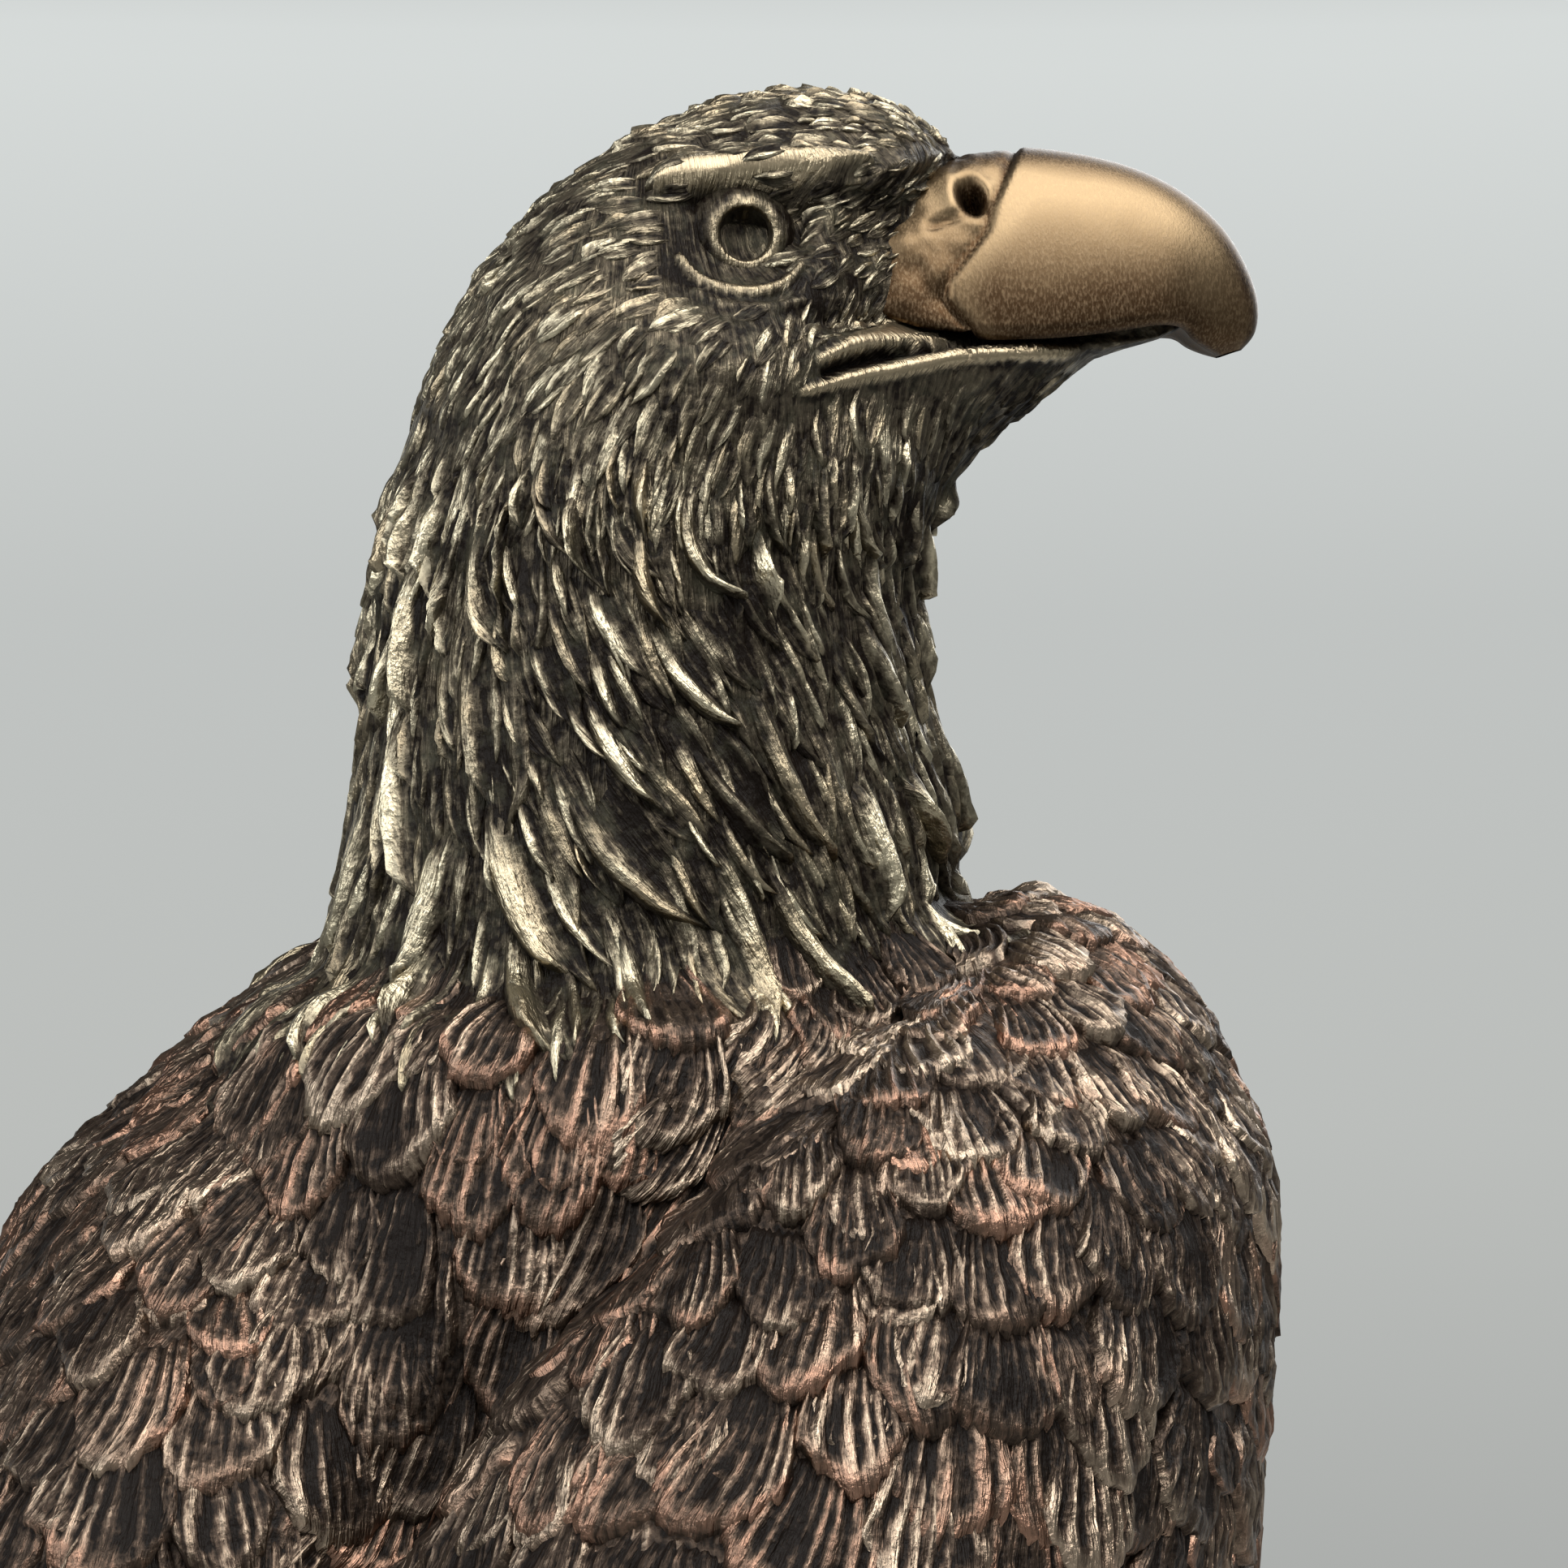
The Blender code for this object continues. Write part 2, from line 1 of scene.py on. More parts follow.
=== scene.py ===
"""The looks of the perched bronze eagle: sculpted head, laid feathers, rock and plinth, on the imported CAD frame.

Lengths are in millimetres and become metres where a mesh is made. The head has its own frame, u forward along the
bill, v up and w out of the bird's right cheek, with zero on the neck's upper axis.
"""

import math

import bpy
import numpy as np
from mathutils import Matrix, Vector
from mathutils.bvhtree import BVHTree
from mathutils.kdtree import KDTree


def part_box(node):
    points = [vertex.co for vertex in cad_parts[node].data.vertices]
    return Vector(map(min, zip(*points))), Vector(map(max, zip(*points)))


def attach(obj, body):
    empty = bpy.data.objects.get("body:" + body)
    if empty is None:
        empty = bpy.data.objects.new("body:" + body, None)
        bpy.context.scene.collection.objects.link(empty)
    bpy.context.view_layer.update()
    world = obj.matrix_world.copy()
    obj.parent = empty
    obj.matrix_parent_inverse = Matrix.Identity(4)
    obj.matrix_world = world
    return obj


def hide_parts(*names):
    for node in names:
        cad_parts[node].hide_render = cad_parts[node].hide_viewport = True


MM = 0.001
RNG = np.random.default_rng(11)
UP = np.array([0.0, 0.0, 1.0])
HEAD_TURN = math.radians(70)
FORWARD = np.array([-math.sin(HEAD_TURN), -math.cos(HEAD_TURN), 0.0])
OUT = np.array([-math.cos(HEAD_TURN), math.sin(HEAD_TURN), 0.0])
HEAD_ZERO = np.array([0.0, -5.0, 242.0]) + 10.5 * FORWARD
SEAM_V = 6.0  # where the finely meshed head meets the coarser body
EYE = (-3.4, 37.5)

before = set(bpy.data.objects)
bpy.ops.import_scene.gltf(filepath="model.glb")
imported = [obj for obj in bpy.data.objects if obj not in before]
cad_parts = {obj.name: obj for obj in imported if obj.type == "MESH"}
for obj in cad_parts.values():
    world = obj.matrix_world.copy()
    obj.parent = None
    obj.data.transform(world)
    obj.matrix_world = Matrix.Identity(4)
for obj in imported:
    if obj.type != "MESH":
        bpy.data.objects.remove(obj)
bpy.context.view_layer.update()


# ---- small mathematics


def to_head(points):
    rel = points - HEAD_ZERO
    return np.stack([rel @ FORWARD, rel @ UP, rel @ OUT], axis=-1)


def from_head(uvw):
    uvw = np.asarray(uvw, float)
    return HEAD_ZERO + uvw[..., :1] * FORWARD + uvw[..., 1:2] * UP + uvw[..., 2:3] * OUT


def smooth(x, low, high):
    t = np.clip((x - low) / (high - low), 0, 1)
    return t * t * (3 - 2 * t)


def unit(v):
    return v / np.maximum(np.linalg.norm(v, axis=-1, keepdims=True), 1e-9)


def bell(x, centre=0.0, width=1.0, power=2):
    """A peak of height one at the centre, falling off smoothly, with a flatter top for a higher power."""
    return np.exp(-(np.abs((x - centre) / width) ** power))


def hill(x, y, cx, cy, rx, ry):
    """A round hill of height one centred on cx, cy."""
    return np.exp(-(((x - cx) / rx) ** 2) - ((y - cy) / ry) ** 2)


LATTICE = np.random.default_rng(5).random((32, 32, 32))


def noise(points, size):
    """Smooth noise from 0 to 1, with lumps of this size."""
    p = points / size
    cell = np.floor(p).astype(int)
    f = p - cell
    f = f * f * (3 - 2 * f)
    total = 0
    for corner in np.ndindex(2, 2, 2):
        share = np.where(corner, f, 1 - f)
        x, y, z = np.moveaxis((cell + corner) % len(LATTICE), -1, 0)
        total = total + share[..., 0] * share[..., 1] * share[..., 2] * LATTICE[x, y, z]
    return total


def fractal(points, size, octaves=4):
    total, weight = 0, 0
    for n in range(octaves):
        total = total + noise(points + 17.3 * n, size / 2**n) / 2**n
        weight += 1 / 2**n
    return total / weight


def along(samples, x):
    """Catmull-Rom through samples (feather, knot, xyz) at x (feather, ...), counted in knots."""
    knots = samples.shape[1]
    k = np.clip(np.floor(x).astype(int), 0, knots - 2)
    f = (x - k)[..., None]
    row = np.arange(len(samples)).reshape((-1,) + (1,) * (x.ndim - 1))
    p0, p1 = samples[row, np.maximum(k - 1, 0)], samples[row, k]
    p2, p3 = samples[row, k + 1], samples[row, np.minimum(k + 2, knots - 1)]
    squared, cubed = 2 * p0 - 5 * p1 + 4 * p2 - p3, 3 * p1 - p0 - 3 * p2 + p3
    return 0.5 * (2 * p1 + (p2 - p0) * f + squared * f**2 + cubed * f**3)


def path(rows, count):
    """Rows of numbers, resampled smoothly to this many rows."""
    rows = np.asarray(rows, float)
    return along(rows[None], np.linspace(0, len(rows) - 1, count)[None])[0]


# ---- meshes


def mesh_of(name, points, faces, facts):
    data = bpy.data.meshes.new(name)
    data.vertices.add(len(points))
    data.vertices.foreach_set("co", (points * MM).astype(np.float32).ravel())
    data.loops.add(faces.size)
    data.loops.foreach_set("vertex_index", faces.astype(np.int32).ravel())
    data.polygons.add(len(faces))
    data.polygons.foreach_set("loop_start", np.arange(0, faces.size, faces.shape[1], dtype=np.int32))
    data.update(calc_edges=True)
    data.validate()
    data.shade_smooth()
    for key, values in facts.items():
        kind, field = ("FLOAT", "value") if values.ndim == 1 else ("FLOAT_VECTOR", "vector")
        data.attributes.new(key, kind, "POINT").data.foreach_set(field, values.astype(np.float32).ravel())
    return data


def linked(name, data):
    obj = bpy.data.objects.new(name, data)
    bpy.context.scene.collection.objects.link(obj)
    return obj


def piece(name, points, faces, look, slot="bronze", stands_for=(), **facts):
    data = mesh_of(name, points, faces, facts)
    data.materials.append(look)
    obj = linked(name, data)
    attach(obj, "root")
    if stands_for:
        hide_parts(*stands_for)


def grid_faces(rows, columns, wrap=False):
    """Quads over a grid of points, closed round its columns if wrap."""
    r, c = np.indices((rows - 1, columns if wrap else columns - 1)).reshape(2, -1)
    d = (c + 1) % columns
    return np.stack([r * columns + c, r * columns + d, (r + 1) * columns + d, (r + 1) * columns + c], axis=1)


def repeated(faces, copies, points_each):
    return (faces[None] + points_each * np.arange(copies)[:, None, None]).reshape(-1, faces.shape[1])


def remeshed(nodes, voxel, rounds):
    """The outer skin of these CAD nodes together, evenly meshed and softened: points and quads."""
    made = bpy.data.meshes.new("clay")
    verts, polys = [], []
    for name in nodes:
        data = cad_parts[name].data
        base = len(verts)
        verts += [tuple(v.co) for v in data.vertices]
        polys += [tuple(base + i for i in p.vertices) for p in data.polygons]
    made.from_pydata(verts, [], polys)
    obj = linked("clay", made)
    weld = obj.modifiers.new("Weld", "WELD")
    weld.merge_threshold = 0.002 * MM
    remesh = obj.modifiers.new("Remesh", "REMESH")
    remesh.mode = "VOXEL"
    remesh.voxel_size = voxel * MM
    soften = obj.modifiers.new("Soften", "SMOOTH")
    soften.factor = 0.5
    soften.iterations = rounds
    bpy.context.view_layer.update()
    done = obj.evaluated_get(bpy.context.evaluated_depsgraph_get()).to_mesh()
    points = np.empty(len(done.vertices) * 3)
    done.vertices.foreach_get("co", points)
    points = points.reshape(-1, 3) / MM
    faces = np.array([p.vertices[:] for p in done.polygons if len(p.vertices) == 4])
    bpy.data.objects.remove(obj)
    return largest(points, faces)


def largest(points, faces):
    """The connected piece with the widest box, which leaves out hollows inside a casting."""
    label = np.arange(len(points))
    ends = np.concatenate([faces[:, [0, 1]], faces[:, [1, 2]], faces[:, [2, 3]]])
    while True:
        low = np.minimum(label[ends[:, 0]], label[ends[:, 1]])
        new = label.copy()
        np.minimum.at(new, ends[:, 0], low)
        np.minimum.at(new, ends[:, 1], low)
        new = new[new]
        if (new == label).all():
            break
        label = new
    names, counts = np.unique(label, return_counts=True)
    names = names[np.argsort(-counts)][:4]  # the widest is one of the few with the most points
    widest = max(names, key=lambda n: np.ptp(points[label == n], axis=0).max())
    return compact(points, faces[label[faces[:, 0]] == widest])


def compact(points, faces, *facts):
    used, index = np.unique(faces, return_inverse=True)
    out = (points[used], index.reshape(faces.shape))
    return out + tuple(f[used] for f in facts) if facts else out


def face_crosses(points, faces):
    """The cross product of each quad's diagonals: its normal, as long as twice its area."""
    a, b, c, d = (points[corner] for corner in faces.T)
    return np.cross(c - a, d - b)


def normals_of(points, faces):
    total, crosses = np.zeros_like(points), face_crosses(points, faces)
    for corner in faces.T:
        np.add.at(total, corner, crosses)
    return unit(total)


def relaxed(values, faces, rounds, share=None):
    """Values per point, each averaged with its neighbours this many times, by its own share."""
    ends = np.concatenate([faces[:, [k, (k + 1) % 4]] for k in range(4)])
    ends = np.concatenate([ends, ends[:, ::-1]])
    count = np.maximum(np.bincount(ends[:, 0], minlength=len(values)), 1)
    values = values.copy()
    columns = values.reshape(len(values), -1)
    share = 0.5 if share is None else 0.5 * share
    for _ in range(rounds):
        for c in range(columns.shape[1]):
            total = np.bincount(ends[:, 0], weights=columns[ends[:, 1], c], minlength=len(values))
            columns[:, c] += share * (total / count - columns[:, c])
    return values


class Surface:
    """A skin that feathers are laid on."""

    def __init__(self, points, faces):
        self.points, self.faces = points, faces
        self.tree = BVHTree.FromPolygons(points.tolist(), faces.tolist())
        corner = normals_of(points, faces)
        self.normals = unit(corner[faces].mean(axis=1))
        self.areas = np.linalg.norm(face_crosses(points, faces), axis=1) / 2
        self.centres = points[faces].mean(axis=1)

    def nearest(self, points):
        shape = points.shape
        flat = points.reshape(-1, 3)
        found, index = np.empty_like(flat), np.empty(len(flat), int)
        for i, p in enumerate(flat.tolist()):
            hit = self.tree.find_nearest(p)
            found[i], index[i] = hit[0], hit[2]
        return found.reshape(shape), self.normals[index].reshape(shape)

    def side_w(self, u, v, side):
        """How far out the cheek is at this u, v on one side."""
        start = from_head([u, v, side * 60.0])
        hit = self.tree.ray_cast(Vector(start), Vector(-side * OUT))
        return to_head(np.array(hit[0]))[2] if hit[0] is not None else side * 5.0


# ---- materials


class Look:
    """A procedural material, or world, built node by node."""

    def __init__(self, name, library=None, shader="Principled BSDF"):
        self.made = (bpy.data.materials if library is None else library).new(name)
        self.made.use_nodes = True
        self.tree = self.made.node_tree
        self.shader = self.tree.nodes[shader]
        self.places = self.node("ShaderNodeTexCoord").outputs
        self.place = self.places["Object"]

    def node(self, kind, inputs=(), **settings):
        """A new node, with these pairs of input and value."""
        made = self.tree.nodes.new(kind)
        for key, value in settings.items():
            setattr(made, key, value)
        for key, value in inputs:
            self.put(made.inputs[key], value)
        return made

    def put(self, socket, value):
        if isinstance(value, bpy.types.NodeSocket):
            self.tree.links.new(value, socket)
        else:
            socket.default_value = (*value, 1) if socket.type == "RGBA" else value

    def set(self, **inputs):
        for key, value in inputs.items():
            self.put(self.shader.inputs[key.replace("_", " ")], value)

    def fact(self, name, vector=False):
        made = self.node("ShaderNodeAttribute", attribute_name=name)
        return made.outputs["Vector" if vector else "Fac"]

    def maths(self, operation, a, b=0.0, clamp=False):
        return self.node("ShaderNodeMath", ((0, a), (1, b)), operation=operation, use_clamp=clamp).outputs[0]

    def stirred(self, base, value, amount, clamp=False):
        """The base, plus the value's distance from one half times this amount."""
        change = self.maths("MULTIPLY", self.maths("SUBTRACT", value, 0.5), amount)
        return self.maths("ADD", base, change, clamp)

    def noise(self, size, detail=4.0, stretch=None, rough=0.55, where=None):
        """Noise whose lumps are about this many millimetres across."""
        where = where or self.place
        if stretch:
            where = self.node("ShaderNodeMapping", (("Vector", where), ("Scale", stretch))).outputs[0]
        inputs = (("Vector", where), ("Scale", 1 / (size * MM)), ("Detail", detail), ("Roughness", rough))
        return self.node("ShaderNodeTexNoise", inputs).outputs[0]

    def ramp(self, value, *stops):
        """Straight lines through (position, value or colour) stops."""
        made = self.node("ShaderNodeValToRGB")
        while len(made.color_ramp.elements) < len(stops):
            made.color_ramp.elements.new(0.5)
        for element, (position, colour) in zip(made.color_ramp.elements, stops):
            element.position = position
            element.color = (*colour, 1) if isinstance(colour, tuple) else (colour, colour, colour, 1)
        self.put(made.inputs[0], value)
        return made.outputs[0]

    def mix(self, factor, a, b):
        return self.node("ShaderNodeMix", ((0, factor), (6, a), (7, b)), data_type="RGBA").outputs[2]

    def bump(self, height, strength, depth):
        inputs = (("Strength", strength), ("Distance", depth * MM), ("Height", height))
        return self.node("ShaderNodeBump", inputs).outputs[0]


def patina(name, dark, middle, high, second, dust=0.0):
    """Antiqued bronze: dark in the hollows and in painted shade, rubbed to bright metal where relief is high."""
    look = Look(name)
    relief, shade = look.fact("relief"), look.fact("shade")
    grain = look.fact("grain", vector=True)
    broad, fine = look.noise(8.0, 3.0), look.noise(0.8, 4.0)
    streak = look.noise(0.5, 3.0, (1.0, 0.14, 1.0), 0.6, grain)
    # Rubbed wear, plus the painted shade that the relief carries on undersides and feather borders
    wear_and_shade = look.stirred(relief, fine, 0.7)
    wear_and_shade = look.stirred(wear_and_shade, broad, 0.7)
    wear_and_shade = look.stirred(wear_and_shade, streak, 0.9, clamp=True)
    hue = look.stirred(shade, broad, 1.5)
    metal = look.mix(look.ramp(hue, (0.35, 0.0), (0.7, 1.0)), high, second)
    colour = look.mix(look.ramp(wear_and_shade, (0.12, 0.0), (0.42, 1.0)), dark, middle)
    colour = look.mix(look.ramp(wear_and_shade, (0.36, 0.0), (0.80, 1.0)), colour, metal)
    if dust:
        chalk = look.noise(2.4, 5.0, None, 0.65)
        laid = look.maths("MULTIPLY", look.ramp(chalk, (0.50, 0.0), (0.72, 1.0)), dust)
        laid = look.maths("MULTIPLY", laid, look.ramp(relief, (0.94, 1.0), (1.0, 0.1)))
        colour = look.mix(laid, colour, (0.10, 0.095, 0.062))
    height = look.maths("ADD", look.maths("MULTIPLY", streak, 0.9), look.maths("MULTIPLY", fine, 0.5))
    look.set(
        Base_Color=colour,
        Metallic=look.ramp(wear_and_shade, (0.10, 0.0), (0.40, 1.0)),
        Roughness=look.ramp(wear_and_shade, (0.1, 0.48), (0.7, 0.33)),
        Specular_IOR_Level=0.08,
        Normal=look.bump(height, look.ramp(relief, (0.94, 1.0), (1.0, 0.3)), 0.42),
    )
    return look.made


def satin_gold():
    look = Look("satin_gold")
    relief = look.fact("relief")
    grain, cloud = look.noise(0.16, 2.0, (1.0, 1.0, 0.45)), look.noise(6.0, 3.0)
    # On the bill the relief is mostly painted sheen, which this tone turns into colour
    tone = look.stirred(relief, cloud, 0.35, clamp=True)
    dark, middle, bright = (0.012, 0.006, 0.003), (0.052, 0.030, 0.015), (0.200, 0.142, 0.080)
    glint = (0.30, 0.215, 0.13)
    colour = look.ramp(tone, (0.0, dark), (0.4, middle), (0.95, bright))
    colour = look.mix(look.maths("MULTIPLY", look.ramp(grain, (0.45, 0.0), (0.8, 1.0)), 0.4), colour, glint)
    look.set(
        Base_Color=colour,
        Metallic=1.0,
        Roughness=look.ramp(grain, (0.3, 0.36), (0.7, 0.5)),
        Normal=look.bump(grain, 0.3, 0.06),
    )
    return look.made


def walnut():
    look = Look("walnut")
    ring = look.noise(9.0, 4.0, (0.16, 1.0, 1.0), 0.6)
    pore = look.noise(0.8, 3.0, (0.06, 1.0, 1.0), 0.6)
    dark, middle, bright = (0.030, 0.014, 0.008), (0.085, 0.040, 0.021), (0.14, 0.070, 0.036)
    colour = look.ramp(ring, (0.3, dark), (0.55, middle), (0.75, bright))
    colour = look.mix(look.ramp(pore, (0.3, 0.6), (0.45, 0.0)), colour, (0.015, 0.008, 0.005))
    look.set(
        Base_Color=colour,
        Roughness=look.ramp(pore, (0.3, 0.5), (0.6, 0.34)),
        Normal=look.bump(pore, 0.2, 0.08),
        Coat_Weight=0.35,
        Coat_Roughness=0.18,
    )
    return look.made


def plain(name, first, second, size, metallic, low, high, depth):
    """Two tones mottled together, for steel and felt."""
    look = Look(name)
    mottle = look.noise(size, 4.0)
    look.set(
        Base_Color=look.mix(mottle, first, second),
        Metallic=metallic,
        Roughness=look.ramp(mottle, (0.3, low), (0.7, high)),
        Normal=look.bump(mottle, 0.4, depth),
    )
    return look.made


HEAD_LOOK = patina(
    "head_patina", (0.005, 0.003, 0.0018), (0.086, 0.071, 0.050), (0.45, 0.395, 0.28), (0.29, 0.235, 0.155), 0.3
)
BODY_LOOK = patina(
    "body_patina", (0.005, 0.003, 0.002), (0.066, 0.047, 0.035), (0.34, 0.265, 0.195), (0.25, 0.145, 0.10)
)
ROCK_LOOK = patina(
    "rock_patina", (0.016, 0.013, 0.011), (0.07, 0.052, 0.038), (0.27, 0.20, 0.13), (0.25, 0.14, 0.09), 0.2
)
GOLD_LOOK = satin_gold()
WALNUT_LOOK = walnut()
STEEL_LOOK = plain("steel", (0.50, 0.50, 0.52), (0.62, 0.62, 0.63), 1.5, 1.0, 0.28, 0.42, 0.03)
FELT_LOOK = plain("felt", (0.010, 0.030, 0.018), (0.025, 0.060, 0.038), 0.5, 0.0, 0.9, 1.0, 0.4)


# ---- the sculpted forms under the feathers


# Each row: culmen u, v; edge u, v; half width
BILL = [
    (5.0, 40.5, 4.5, 33.0, 7.0),
    (8.8, 43.1, 8.2, 31.6, 7.3),
    (12.6, 44.3, 12.2, 30.9, 7.2),
    (16.4, 44.5, 16.2, 30.9, 6.9),
    (20.6, 44.0, 20.2, 31.2, 6.3),
    (24.4, 43.0, 23.4, 31.7, 5.6),
    (27.6, 41.4, 25.8, 32.1, 4.9),
    (30.2, 39.2, 27.2, 32.1, 4.1),
    (31.9, 36.7, 28.0, 31.8, 3.4),
    (32.9, 34.0, 28.7, 31.2, 2.6),
    (32.8, 31.9, 29.6, 30.7, 1.7),
    (31.9, 30.7, 30.6, 30.3, 0.7),
]
# Lines over each cheek, each point: u, v, half thickness
BROW = [(-9.4, 41.0, 0.5), (-7.6, 41.8, 1.1), (-3.5, 42.3, 1.3), (0.5, 42.5, 1.2), (3.2, 42.6, 0.75), (5.2, 42.6, 0.3)]
LOWER_LID = [(-7.9, 35.6, 0.3), (-6.5, 33.9, 0.42), (-3.6, 33.0, 0.5), (-0.9, 33.7, 0.42), (0.5, 35.4, 0.3)]
POUCH = [(-6.9, 33.0, 0.3), (-4.6, 31.9, 0.4), (-2.0, 31.8, 0.4), (0.6, 32.6, 0.3)]
GAPE = [(2.0, 27.3, 0.2), (4.0, 28.2, 0.3), (6.5, 29.0, 0.33), (9.0, 29.6, 0.28), (12.0, 30.2, 0.26)]
GAPE += [(20.0, 30.8, 0.3), (26.5, 31.8, 0.3)]
UPPER_LIP = [(1.6, 28.3, 0.25), (4.0, 29.5, 0.6), (6.5, 30.5, 0.85), (9.0, 31.3, 1.2), (11.0, 32.0, 1.4)]
LOWER_LIP = [(0.4, 26.0, 0.25), (3.5, 27.1, 0.55), (6.5, 27.9, 0.62), (9.0, 28.5, 0.6), (12.0, 29.2, 0.55)]
LOWER_LIP += [(20.0, 30.0, 0.5), (26.0, 31.3, 0.3)]


def nearest_on(rows, u, v, samples=70):
    """How far each u, v is from a line of (u, v, half thickness), in half thicknesses, and how far in millimetres."""
    far, share = np.full(np.shape(u), 99.0), np.full(np.shape(u), 99.0)
    for a, b, thick in path(rows, samples):
        here = np.hypot(u - a, v - b)
        share = np.where(here < far, here / thick, share)
        far = np.minimum(far, here)
    return share, far


def bill_width(u, v):
    """Half the bill's width at this u, v, the same without its narrowing to the culmen, and the culmen's height."""
    rows = np.array(BILL[:8])  # before the hook turns down
    top, low = np.interp(u, rows[:, 0], rows[:, 1]), np.interp(u, rows[:, 2], rows[:, 3])
    down = np.clip((top - v) / (top - low), 0, 1)
    half = np.interp(u, rows[:, 0], rows[:, 4])
    narrow, full = (half * (1 - (1 - depth) ** 1.74) ** 0.41 for depth in (down, np.maximum(down, 0.35)))
    return narrow, full, top


# Where the right wing lifts off the back: x, y, z
VALLEY = [(-26, 4, 231), (-23, 12, 227), (-17, 23, 220), (-13, 27, 213), (-8, 31, 207), (-2, 34, 199), (3, 37, 191)]


def valley_distance(points):
    return np.min([np.linalg.norm(points - spot, axis=1) for spot in path(VALLEY, 40)], axis=0)


def cere_line(v):
    """Where the feathers end and the bare cere begins."""
    return np.interp(v, [29, 31.5, 35.5, 39.5, 42, 44.2], [6.0, 7.0, 8.7, 9.2, 10.2, 12.1])


def sculpt_head(points, faces):
    """Narrows the face onto the bill, sinks the sockets and models brow, lids and lips; also their relief."""
    uvw = to_head(points)
    u, v, w = uvw.T
    squeeze = 1 - smooth(v, 26, 36) * 0.24 * smooth(u, -18, -4)
    chin = np.interp(u, [-2, 0, 2, 4, 6, 8, 10, 14, 20], [1, 0.93, 0.87, 0.82, 0.78, 0.745, 0.72, 0.74, 0.88])
    squeeze = squeeze * (1 - (1 - chin) * smooth(v, 33, 30) * smooth(v, 19, 26))
    w = w * squeeze
    behind = u - cere_line(v)
    w = w * (1 - 0.5 * smooth(u, 7, 12.3) * smooth(v, 41, 43.5))
    bill, full, culmen = bill_width(u, v)
    front = smooth(behind, -3.0, 0)
    target = (1 - front) * (full + np.interp(behind, [-7, -3, 0], [2.6, 1.3, 0.5])) + front * (bill - 0.2)
    target = target - np.interp(behind, [0, 1, 3], [0.0, 1.3, 4.0])
    share = smooth(behind, -8, -1.5) * smooth(v, 29.8, 31.5) * smooth(v, culmen + 0.8, culmen - 0.6)
    w = np.sign(w) * ((1 - share) * np.abs(w) + share * np.minimum(np.abs(w), target))
    uvw[:, 2] = w
    points = from_head(uvw)
    normals = normals_of(points, faces)
    beside = smooth(np.abs(w), 2.5, 5)
    lift = -2.5 * hill(u, v, EYE[0] + 0.6, EYE[1] + 0.4, 4.6, 3.9)
    lift += -1.5 * hill(u, v, 0.9, 38.6, 1.6, 2.0) - 1.5 * hill(u, v, -2.5, 40.2, 5.0, 0.8)
    lift += -0.9 * hill(u, v, 5.0, 37.4, 3.2, 3.0)
    lift += 0.9 * hill(u, v, -6.0, 28.5, 6.5, 4.0)
    rough = 0.5 * (fractal(points, 3.2, 3) - 0.5)
    relief = np.zeros(len(points))
    for rows, height, bright in (
        (BROW, 1.25, 1.0 - 0.5 * smooth(u, 0, 4.5)),
        (LOWER_LID, 0.95, 0.78),
        (POUCH, 0.4, 0.3),
        (UPPER_LIP, 0.5, 1.1),
        (LOWER_LIP, 0.6, 1.05),
    ):
        share, _ = nearest_on(rows, u, v)
        lift += height * bell(share, 0, 1.1, 3)
        relief = np.maximum(relief, bright * bell(share, 0, 1.05, 4))
    share, _ = nearest_on(GAPE, u, v)
    slit = bell(share, 0, 1.1, 3)
    lift -= 1.3 * slit
    relief = np.maximum(relief, 1.0 * smooth(behind, -1.6, -0.2) * smooth(v, 30, 31.5)) * (1 - slit) - 1.5 * slit
    lips = np.clip(relief, 0, 1)
    return points + (lift * beside + rough * (1 - 0.7 * lips))[:, None] * normals, relief * beside


CASTINGS = ["head_and_neck", "torso", "right_wing", "left_wing", "tail"]
HEAD_VOXEL, BODY_VOXEL = 0.36, 0.8

head_points, head_faces = remeshed(CASTINGS[:1], HEAD_VOXEL, 7)
head_points, face_relief = sculpt_head(head_points, head_faces)
body_points, body_faces = remeshed(CASTINGS, BODY_VOXEL, 14)

# The neck flares smoothly onto the back and the breast
flare = 1 - smooth(np.abs(body_points[:, 2] - 227), 5, 12)
flare = flare * (1 - smooth(np.hypot(body_points[:, 0], body_points[:, 1] + 5), 33, 38))
flare = flare * (1 - 0.85 * smooth(to_head(body_points)[:, 0], 3, 9))
body_points = relaxed(body_points, body_faces, 45, flare)


def drawn_in(points):
    """How far the left shoulder is drawn in, as the bird looks the other way; less where its upper pin ends."""
    x, y, z = points.T
    return 4.6 * smooth(z, 172, 205) * smooth(x, 12, 34) * (1 - 0.62 * hill(y, z, 8.8, 207, 11, 9))


body_points[:, 0] -= drawn_in(body_points)
body_uvw = to_head(body_points)
valley = bell(valley_distance(body_points), 0, 3.4)
RIDGE_FROM_VALLEY = np.array([-5.5, 1.5, -3.5])
ridge = bell(valley_distance(body_points - RIDGE_FROM_VALLEY), 0, 4.0) * smooth(body_points[:, 2], 226, 216)
notch = hill(body_uvw[:, 0], body_uvw[:, 1], 12.5, -8.5, 3.2, 3.5)
body_points = body_points + (1.3 * ridge - 2.6 * valley - 1.6 * notch)[:, None] * normals_of(body_points, body_faces)

head_uvw = to_head(head_points[head_faces].mean(axis=1))
bill_line = np.interp(head_uvw[:, 0], [9, 14, 20, 28], [31.6, 31.3, 31.6, 32.3])
on_bill = (head_uvw[:, 0] > 13.2) & (head_uvw[:, 1] > bill_line)
kept = (head_uvw[:, 1] > SEAM_V) & ~on_bill
head_points, head_faces, face_relief = compact(head_points, head_faces[kept], face_relief)
body_v = to_head(body_points[body_faces].mean(axis=1))[:, 1]
body_points, body_faces = compact(body_points, body_faces[body_v < SEAM_V + 1.0])
SKIN = Surface(
    np.concatenate([head_points, body_points]),
    np.concatenate([head_faces, body_faces + len(head_points)]),
)


